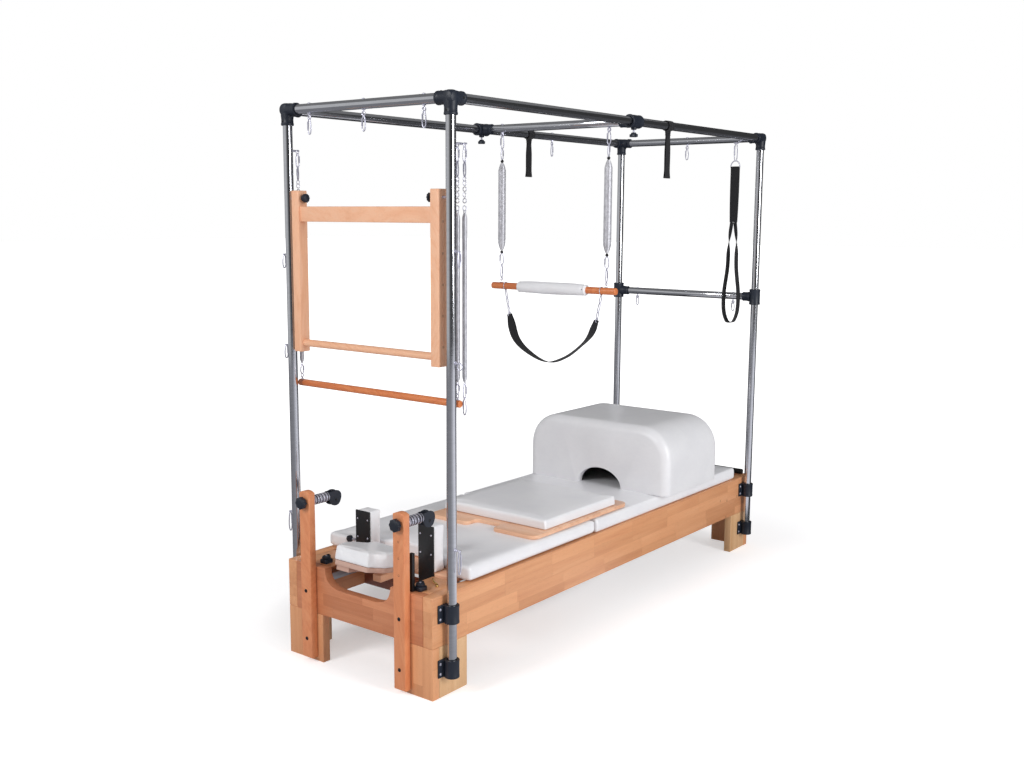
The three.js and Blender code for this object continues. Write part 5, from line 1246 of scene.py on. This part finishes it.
def inflate(thing, style, held):
    # The pad is remeshed and swollen by pressure with gravity off. The points for which held
    # is true, which rest on a board, stay; no other point moves further than the swell.
    remesh = thing.modifiers.new("remesh", "REMESH")
    remesh.mode, remesh.voxel_size, remesh.use_smooth_shade = "VOXEL", style["voxel"] / 1000, True
    applyModifiers(thing)
    count = len(thing.data.vertices)
    rest = np.empty(count * 3)
    thing.data.vertices.foreach_get("co", rest)
    rest = rest.reshape(-1, 3)
    pinned = thing.vertex_groups.new(name="held")
    pinned.add(np.flatnonzero(held(rest * 1000 + (middleX, 0, 0))).tolist(), 1.0, "REPLACE")
    cloth = thing.modifiers.new("cloth", "CLOTH")
    cloth.settings.vertex_group_mass = "held"
    cloth.settings.use_pressure = True
    cloth.settings.uniform_pressure_force = style["pressure"]
    cloth.settings.effector_weights.gravity = 0
    cloth.settings.quality = 4
    cloth.point_cache.frame_start, cloth.point_cache.frame_end = 1, 20
    for number in range(1, 21):
        bpy.context.scene.frame_set(number)
    blown = thing.evaluated_get(bpy.context.evaluated_depsgraph_get()).to_mesh()
    moved = np.empty(count * 3)
    blown.vertices.foreach_get("co", moved)
    shift = moved.reshape(-1, 3) - rest
    size = np.linalg.norm(shift, axis=1, keepdims=True)
    limit = style["swell"] / 1000
    shift *= np.where(size > 1e-9, limit * np.tanh(size / limit) / np.maximum(size, 1e-9), 0)
    thing.modifiers.clear()
    thing.vertex_groups.clear()
    thing.data.vertices.foreach_set("co", (rest + shift).ravel())
    thing.data.update()
    bpy.context.scene.frame_set(1)
    smooth = thing.modifiers.new("smooth", "SUBSURF")
    smooth.levels = smooth.render_levels = 1


def makePad(name, outline, low, high, edge, body, replaces=None, axis=2, held=None, place=None):
    # A firm pad: an outline carried through its thickness with both rims rounded, then
    # swollen. Unless told otherwise, its lowest 3 mm are held by the board under it.
    style = padSettings[name]
    points, faces, _ = slab(outline, low, high, edge, axis, 4)
    mesh = newMesh(name, toRow(place(points) if place else points), faces)
    weld(mesh, recalculate=True)
    thing = addObject(name, mesh)
    inflate(thing, style, held or (lambda p: p[:, axis] < low + 3))
    thing.data.shade_smooth()
    handOver(thing, "whiteVinyl", body, replaces)
    stage(f"{name} has {len(thing.data.polygons)} faces")


carriageSettings = {
    "head": 201, "foot": 1012, "half": 290, "low": 358.3, "top": 378.3, "wheelX": {"head": 320, "foot": 900},
    "wheelZ": 315.3, "shoulder": (126, 201), "shoulderZ": (334.3, 555.3), "cushion": (378.9, 431.5),
    # across from the plate's inner edge, and height
    "shoulderScrews": [(11, 522), (64, 522), (11, 450), (64, 450), (37.5, 346)],
    # one half of the cushion's outline, from its foot end round the shoulder rest to the nose
    "outline": [(1022, 368.5), (206, 368.5), (206, 272.5), (268, 208.5), (268, 127), (306, 89)]}


def makeCarriage():
    # The platform's own board, the tongue under its nose, and the prop block on the tongue.
    s = carriageSettings
    board = roundBlock((s["head"], -s["half"], s["low"]), (s["foot"], s["half"], s["top"]), 2.2, 2)
    tongue = roundBlock((103, -22, 330), (261, 22, s["low"]), 5, 3)
    prop = roundBlock((141, -22, 356), (175, 22, s["top"] - 0.4 + 7 * math.tan(headrestTilt)), 2.2, 2)
    makeObject("carriage_board", [board, tongue, prop], "platform", "carriage", "carriage_platform")
    fittings = []
    for end, x in s["wheelX"].items():
        for way in sides.values():
            inner, outer = way * 284.7, way * 298.7
            fittings.append(roundBlock((x - 30, inner, 303), (x + 30, outer, 359), 3, 2))
            fittings.append(roundBlock((x - 30, inner - way * 30, 352), (x + 30, outer, 358.2), 2, 2))
            fittings += [screw((x + dx, outer - way * 16, 352.2), (0, 0, -1), 5, 2.4) for dx in (-18, 18)]
        makeWheels(end, x, s["wheelZ"])
    makeObject("wheel_brackets", fittings, "steel", "carriage")
    for side, way in sides.items():
        makeShoulderRest(side, way)
    half = s["outline"]
    outline = roundCorners(half + [(x, -y) for x, y in half[::-1]], 7, 6)
    makePad("carriage_cushion", outline, *s["cushion"], 6, "carriage", "carriage_pad")


def makeWheels(end, x, z):
    rim = [(6.4, 2), (9, 0), (12, 0), (13, 2.4), (19.5, 2.8), (20.6, 0.6), (22.5, 0), (25, 2.5)]
    wheels = [evenRing(rim, (x, way * 299.7, z), (x, way * 317.7, z), 48) for way in sides.values()]
    makeObject(f"wheels_{end}", wheels, "rubber", f"wheel_set_{end}", f"wheel_set_{end}")
    axle = turned([(0, 0), (6, 0.5), (6, 634.6), (0, 635)], (x, -317.5, z), (x, 317.5, z), 20)
    makeObject(f"axle_{end}", [axle], "zinc", f"wheel_set_{end}")


def makeShoulderRest(side, way):
    # A steel plate, its screws, and the cushion on its foot side.
    s = carriageSettings
    (near, far), (low, high), front = s["shoulder"], s["shoulderZ"], 194.7
    plate = roundBlock((front, way * near, low), (front + 6, way * far, high), 1.6, 2)
    makeObject(f"shoulder_plate_{side}", [plate], "steel", "carriage", f"shoulder_rest_{side}")
    screws = [screw((front, way * (near + u), z), (-1, 0, 0), 3.8, 1.8) for u, z in s["shoulderScrews"]]
    makeObject(f"shoulder_plate_screws_{side}", screws, "zinc", "carriage")
    middle, half = way * (near + far) / 2, (far - near) / 2 - 1
    outline = roundedOutline(middle - half, middle + half, 379.2, high - 0.7, 7, 0.5, 6, 4)
    makePad(f"shoulder_cushion_{side}", outline, 201, 259.4, 5, "carriage", axis=0,
            held=lambda p: p[:, 0] < 203.5)


headrestTilt = math.radians(10)


headrestSettings = {
    "hinge": (182, 378.6), "board": (0, 18), "cushion": (18.4, 71),
    # one half of the outline, from the hinge line towards the head end
    "outline": [(0, 92), (-61, 92), (-109, 120), (-157, 120), (-218, 84.5)]}


def makeHeadrest():
    # Drawn flat about the hinge line and then tilted up.
    s, half = headrestSettings, headrestSettings["outline"]
    outline = np.array(half + [(x, -y) for x, y in half[::-1]], float)
    hingeX, hingeZ = s["hinge"]
    sine, cosine = math.sin(headrestTilt), math.cos(headrestTilt)

    def place(points):
        x, y, z = points.T
        return np.stack([hingeX + x * cosine + z * sine, y, hingeZ - x * sine + z * cosine], -1)

    middle = outline.mean(0)
    board = slab(roundCorners(middle + (outline - middle) * (0.985, 0.95), 4), *s["board"], 1.6, 2, 2)
    block = roundBlock((-208, 14, -19), (-132, 78, 0.3), 1.6, 2)
    makeObject("headrest_board", [(place(points), faces, None) for points, faces, _ in (board, block)],
               "headBoard", "headrest", "headrest")
    inner = roundCorners(middle + (outline - middle) * 0.995, 5, 5)
    makePad("headrest_cushion", inner, *s["cushion"], 4, "headrest", place=place,
            held=lambda p: (p - (hingeX, 0, hingeZ)) @ np.array([sine, 0, cosine]) < 21)
    hinges = []
    for y in (-62, 62):
        hinges.append(turned([(0, 0), (4.5, 0.4), (4.5, 49.6), (0, 50)], (hingeX, y - 25, 381),
                             (hingeX, y + 25, 381), 14))
        hinges.append(roundBlock((hingeX, y - 25, 378.4), (200.5, y + 25, 380.8), 0.8, 1))
    makeObject("headrest_hinges", hinges, "zinc", "headrest")


boardSettings = {"thickness": 16, "matBottom": 373.9, "matTop": 431.5, "matX": (1025.2, 2293.5),
                 "half": 368.5, "padX": (708.5, 1227.5), "padY": (-334.5, 199.5), "pad": (451.1, 492.0)}


def makeLoosePieces():
    s = boardSettings
    outline = roundedOutline(*s["matX"], -s["half"], s["half"], 6, 1, 14, 5)
    makePad("filler_cushion", outline, s["matBottom"], s["matTop"], 6, "filler_mat", "filler_mat")
    # The jump board's corners are round, and its head end has a notch.
    board = np.vstack([
        bowed((615, -309), (615, -349), (655, -349), 9), [(850, -349), (1060, -349)],
        bowed((1260, -349), (1300, -349), (1300, -309), 9), [(1300, -72)],
        bowed((1300, 165), (1300, 205), (1260, 205), 9), [(1060, 205), (850, 205)],
        bowed((655, 205), (615, 205), (615, 165), 9),
        bowed((615, 17), (615, -7), (639, -7), 9), bowed((657, -7), (681, -7), (681, -31), 9),
        bowed((681, -113), (681, -137), (657, -137), 9), bowed((639, -137), (615, -137), (615, -161), 9)])
    makeObject("jump_board_wood", [slab(board, cushionTop, cushionTop + s["thickness"], 3, 2, 3)], "boardX",
               "jump_board", "jump_board")
    outline = roundedOutline(*s["padX"], *s["padY"], 9, 2, 8, 5)
    makePad("board_cushion", outline, *s["pad"], 7, "jump_board", "jump_board_pad")


boxSettings = {"start": 1529.8, "end": 2014.8, "right": -409, "left": 362, "top": 740.6,
               "round": 150, "edge": 42, "wall": 34, "archMiddle": -45, "archHalf": 120, "archHeight": 86}


def makeSittingBox():
    # One skin, as rings in (y, z) about the long axis. Outside, a ring's inset falls from the
    # edge radius to nothing along a quarter circle. Its section has flat sides, a flat top
    # and two large rounds. The arches are cut after that and their rims rounded.
    s = boxSettings
    right, left, bottom, top = s["right"], s["left"], cushionTop, s["top"]
    start, end, e, w = s["start"], s["end"], s["edge"], s["wall"]

    def between(a, b, count):
        return a + (b - a) * np.linspace(0, 1, count)[1:-1, None]

    def section(shrink, rise):
        r = max(s["round"] - shrink, 8)
        a = np.linspace(0, np.pi / 2, 13)
        one = np.stack([left - shrink - r + r * np.cos(a), top - shrink - r + r * np.sin(a)], -1)
        two = np.stack([right + shrink + r - r * np.sin(a), top - shrink - r + r * np.cos(a)], -1)
        foot = np.column_stack([np.linspace(right + shrink, left - shrink, 31), np.full(31, bottom + rise)])
        return np.vstack([foot, between(foot[-1], one[0], 8), one, between(one[-1], two[0], 14), two,
                          between(two[-1], foot[0], 8)])

    def rings(places, shrinks, rise=0.0):
        outlines = [section(shrink, rise) for shrink in shrinks]
        return np.stack([np.insert(outline, 0, x, axis=1) for x, outline in zip(places, outlines)])

    def closed(grid):
        return gridPart(np.concatenate([grid, grid[:, :1]], 1))

    bend = np.linspace(0, np.pi / 2, 8)
    inset, depth = e - e * np.sin(bend), e - e * np.cos(bend)
    xs = np.concatenate([start + depth, np.linspace(start + e, end - e, 12)[1:-1], (end - depth)[::-1]])
    outer = closed(rings(xs, np.concatenate([inset, np.zeros(10), inset[::-1]])))
    hollow = closed(rings(np.linspace(start + w, end - w, 6), [w] * 6, -4))
    middle, half, height = s["archMiddle"], s["archHalf"], s["archHeight"]
    angle = np.linspace(0, np.pi, 33)
    arch = np.stack([middle + half * np.cos(angle), bottom + height * np.sin(angle)], -1)
    arch = np.vstack([arch, [(middle - half, bottom - 6), (middle + half, bottom - 6)]])
    tunnel = slab(arch, start - 20, end + 20, 0.5, 0, 1)
    box = makeObject("sitting_box_cover", [outer], "greyVinyl", "sitting_box", "sitting_box")
    cutters = []
    for name, (points, faces, _) in (("hollow", hollow), ("tunnel", tunnel)):
        cutters.append(addObject(name, newMesh(name, toRow(points), outward(points, faces))))
        cut = box.modifiers.new(name, "BOOLEAN")
        cut.object, cut.operation, cut.solver = cutters[-1], "DIFFERENCE", "EXACT"
    applyModifiers(box)
    for cutter in cutters:
        bpy.data.objects.remove(cutter)
    rim = box.modifiers.new("rim", "BEVEL")
    rim.width, rim.segments, rim.limit_method, rim.angle_limit = 0.006, 3, "ANGLE", math.radians(50)
    applyModifiers(box)
    box.data.set_sharp_from_angle(angle=math.radians(50))
    # Painted shade for the dark inside of the hollow: a thin black sheet bent over it, and one
    # over each end above its arch, all just inside the walls.
    u = w + 2.5
    ends = [start + u, end - u]
    skin = rings(ends + ends[::-1], [u, u, u + 1.5, u + 1.5], 4)[:, 30:]
    paintedShadeSheet = [gridPart(np.concatenate([skin, skin[:1]]), False, False)]
    over = np.stack([middle + (half + 6) * np.cos(angle), bottom + 4 + (height + 6) * np.sin(angle)], -1)
    for x, inner in zip(ends, (ends[0] + 1.5, ends[1] - 1.5)):
        paintedShadeSheet.append(slab(np.vstack([section(u, 4)[30:], over[::-1]]), *sorted((x, inner)), 0.1, 0, 1))
    makeObject("sitting_box_painted_shade_sheet", paintedShadeSheet, "paintedShadeSheet", "sitting_box")


footBarSettings = {"pivot": (2170, 322), "rest": (2415, 386.3), "half": 345, "armY": 292, "pinEnd": 337,
                   "arm": [(2159, 322), (2172, 322), (2355, 328), (2386, 346), (2391.5, 378), (2397, 384)]}


def makeFootBar():
    s = footBarSettings
    (pivotX, pivotZ), (restX, restZ), half = s["pivot"], s["rest"], s["half"]
    grip = evenRod([(0, 0), (9, 0), (12, 1.2), (13, 4)], (restX, -half, restZ), (restX, half, restZ), 32)
    makeObject("foot_bar_grip", [grip], "rubber", "foot_bar", "foot_bar")
    arms, pins = [], []
    for way in sides.values():
        y = way * s["armY"]
        curve = catmull([(x, y, z) for x, z in s["arm"] + [s["rest"]]], 50)
        arms.append(sweep(curve, 11, 24, side=alongY))
        at = lambda reach: (pivotX, way * reach, pivotZ)
        pins.append(rod(7, at(s["armY"]), at(s["pinEnd"]), 16))
        pins.append(turned([(0, 0), (13, 0), (14, 1), (14, 7), (13, 8), (0, 8)], at(304), at(320), 24))
    makeObject("foot_bar_arms", arms, "steel", "foot_bar")
    makeObject("foot_bar_pins", pins, "zinc", "foot_bar")


stageSettings = {
    # how bright the floor looks near the table, in the painted shade behind it and far out, and the
    # distances in metres between which it brightens
    "floorColour": (236, 236, 238), "floorGlow": 0.48, "paintedShadeGlow": 0.02, "farGlow": 1.0, "glowStart": 1.6,
    "glowEnd": 4.5,
    # middle and half size of the painted shade on the floor behind the table
    "paintedShadeX": (-0.1, 0.95), "paintedShadeY": (0.45, 0.5),
    # how bright the world's light is on things that the camera doesn't see directly
    "fill": 0.44,
    # name, place, target, width and height, and power of each lamp
    "lamps": [("rightLamp", (-0.9, -8.0, 3.0), (0.1, 0, 0.8), (2.2, 4.2), 340),
              ("headLamp", (-8.0, 1.1, 5.2), (0, 0, 0.6), (2.4, 2.4), 270)],
    # azimuth in turns from +X, and how bright the studio's reflection is there
    "room": [(0.0, 0.04), (0.1, 0.04), (0.16, 0.1), (0.2, 0.45), (0.3, 0.5), (0.34, 0.6), (0.46, 0.6),
             (0.52, 0.3), (0.56, 0.07), (0.66, 0.05), (0.74, 0.1), (0.78, 0.45), (0.83, 0.45), (0.87, 0.05)],
    "ground": [(0.0, 0.05), (0.14, 0.05), (0.2, 0.2), (0.45, 0.26), (0.56, 0.3), (0.64, 0.5), (0.72, 0.85),
               (0.83, 0.85), (0.87, 0.08)],
    "ceiling": 0.22, "roomRadius": 9.5, "roomHeight": 7.5,
}


def makeFloor():
    s, size = stageSettings, 60.0
    corners = [(-size, -size, 0), (size, -size, 0), (size, size, 0), (-size, size, 0)]
    mesh = newMesh("floor", corners, [(0, 1, 2, 3)])
    floor = addObject("floor", mesh)
    look = Look("floor", Roughness=0.9, Specular_IOR_Level=0.1, Base_Color=linear(s["floorColour"]))
    # Camera, glossy and transmission rays see the floor brighter than the lamps make it, and
    # white far out, so that it meets the background without an edge and keeps the shadow.
    x, y, _ = look.axes(look.place())
    far = (((x * x + y * y).root() - s["glowStart"]) / (s["glowEnd"] - s["glowStart"])).clamp()
    glow = far * (s["farGlow"] - s["floorGlow"]) + s["floorGlow"]
    # The floor on the table's far side, seen through the scoop of the head rail, gets painted
    # shade: its glow is lowered in a soft ellipse there.
    (middleAlong, halfAlong), (middleAcross, halfAcross) = s["paintedShadeX"], s["paintedShadeY"]
    along, across = (x - middleAlong) * (1 / halfAlong), (y - middleAcross) * (1 / halfAcross)
    paintedShade = (((along * along + across * across).root() * -1 + 1.15) * 1.6).clamp()
    glow = (glow - paintedShade * (s["floorGlow"] - s["paintedShadeGlow"])) * look.seen()
    shine = look.node("ShaderNodeEmission", {"Color": look.mix(glow, (0, 0, 0, 1), (1, 1, 1, 1))})
    both = look.node("ShaderNodeAddShader", {0: Value(look, look.shader.outputs[0]), 1: shine})
    look.feed(look.tree.nodes["Material Output"].inputs[0], both)
    mesh.materials.append(look.material)


def makeRoom():
    # What the chrome mirrors: dark studio walls with bright gaps, a dim ceiling, and a floor
    # that is dark towards the foot end. Only glossy rays see it.
    s = stageSettings
    turns = np.linspace(0, 1, 145)[:, None] * 2 * np.pi
    radius, height = s["roomRadius"], s["roomHeight"]
    rows = [np.hstack([r * np.cos(turns), r * np.sin(turns), np.full((145, 1), z)])
            for r, z in ((0.02, 0.004), (radius, 0.004), (radius, height), (0.01, height))]
    points, faces, _ = gridPart(np.stack(rows), False, False)
    mesh = newMesh("room", points, faces)
    room = addObject("room", mesh)
    look = Look("room", Roughness=1.0, Specular_IOR_Level=0.0, Base_Color=(0, 0, 0, 1))
    x, y, z = look.axes(look.place())
    angle = (y.angle(x) / (2 * math.pi) + 1).fract()
    wall = look.ramp(angle, [(place, (v, v, v, 1)) for place, v in s["room"]])
    ground = look.ramp(angle, [(place, (v, v, v * 1.06, 1)) for place, v in s["ground"]])
    shade = look.mix(z > height - 0.1, look.mix(z < 0.1, wall, ground), (s["ceiling"],) * 3 + (1,))
    look.set(Emission_Color=shade, Emission_Strength=1.0)
    mesh.materials.append(look.material)
    room.visible_camera = room.visible_diffuse = room.visible_shadow = False
    room.visible_transmission = room.visible_volume_scatter = False


def makeLight():
    # The background is white where the camera sees it and dimmer where it only gives light.
    world = bpy.data.worlds.new("studio")
    bpy.context.scene.world = world
    sky = Nodes(world)
    sky.tree.nodes.clear()
    fill, white = [sky.node("ShaderNodeBackground", {0: (1, 1, 1, 1), 1: strength})
                   for strength in (stageSettings["fill"], 1.0)]
    shown = sky.node("ShaderNodeMixShader", {0: sky.seen(), 1: fill, 2: white})
    sky.node("ShaderNodeOutputWorld", {0: shown})
    for name, place, target, size, power in stageSettings["lamps"]:
        lamp = bpy.data.lights.new(name, "AREA")
        lamp.shape, lamp.size, lamp.size_y, lamp.energy = "RECTANGLE", size[0], size[1], power
        ahead = unit(np.subtract(target, place).astype(float))
        right = unit(np.cross(ahead, alongZ))
        aim(addObject(name, lamp), right, np.cross(right, ahead), ahead, place)


def aim(thing, right, up, ahead, place):
    turn = np.column_stack([right, up, np.negative(ahead), place])
    thing.matrix_world = Matrix([*turn.tolist(), [0, 0, 0, 1]])


# the pose found from the photograph, from a point in front of the head end
cameraSettings = {
    "right": (0.61269081, -0.7903005, 0.00592437), "up": (0.11405286, 0.09583367, 0.98884167),
    "ahead": (0.78204982, 0.60517851, -0.14885244), "place": (-3.93964, -2.83718, 1.67901),
    "sensor": 36, "focal": 39.18, "farthest": 200}


def makeCamera():
    s = cameraSettings
    lens = bpy.data.cameras.new("camera")
    lens.sensor_width, lens.lens, lens.clip_end = s["sensor"], s["focal"], s["farthest"]
    camera = addObject("camera", lens)
    aim(camera, s["right"], s["up"], s["ahead"], s["place"])
    bpy.context.scene.camera = camera
    bpy.context.scene.view_settings.view_transform = "Standard"


for note, makers in (
        ("studio made", (makeCamera, makeFloor, makeRoom, makeLight)),
        ("base made", (makeBaseWood, makeTracks, makeSpringBar, makeRisers, makeHeadCorners)),
        ("canopy made", (makePosts, makeCorners, makeCanopyTubes, makeCrossbar, makeMidBar, makeEyeBolts)),
        ("hanging pieces made", (makeTrapeze, makePushThrough, makeRollDown, makeTubeLoops, makeLongLoop)),
        ("carriage and loose pieces made",
         (makeCarriage, makeHeadrest, makeLoosePieces, makeSittingBox, makeFootBar))):
    for make in makers:
        make()
    stage(note)
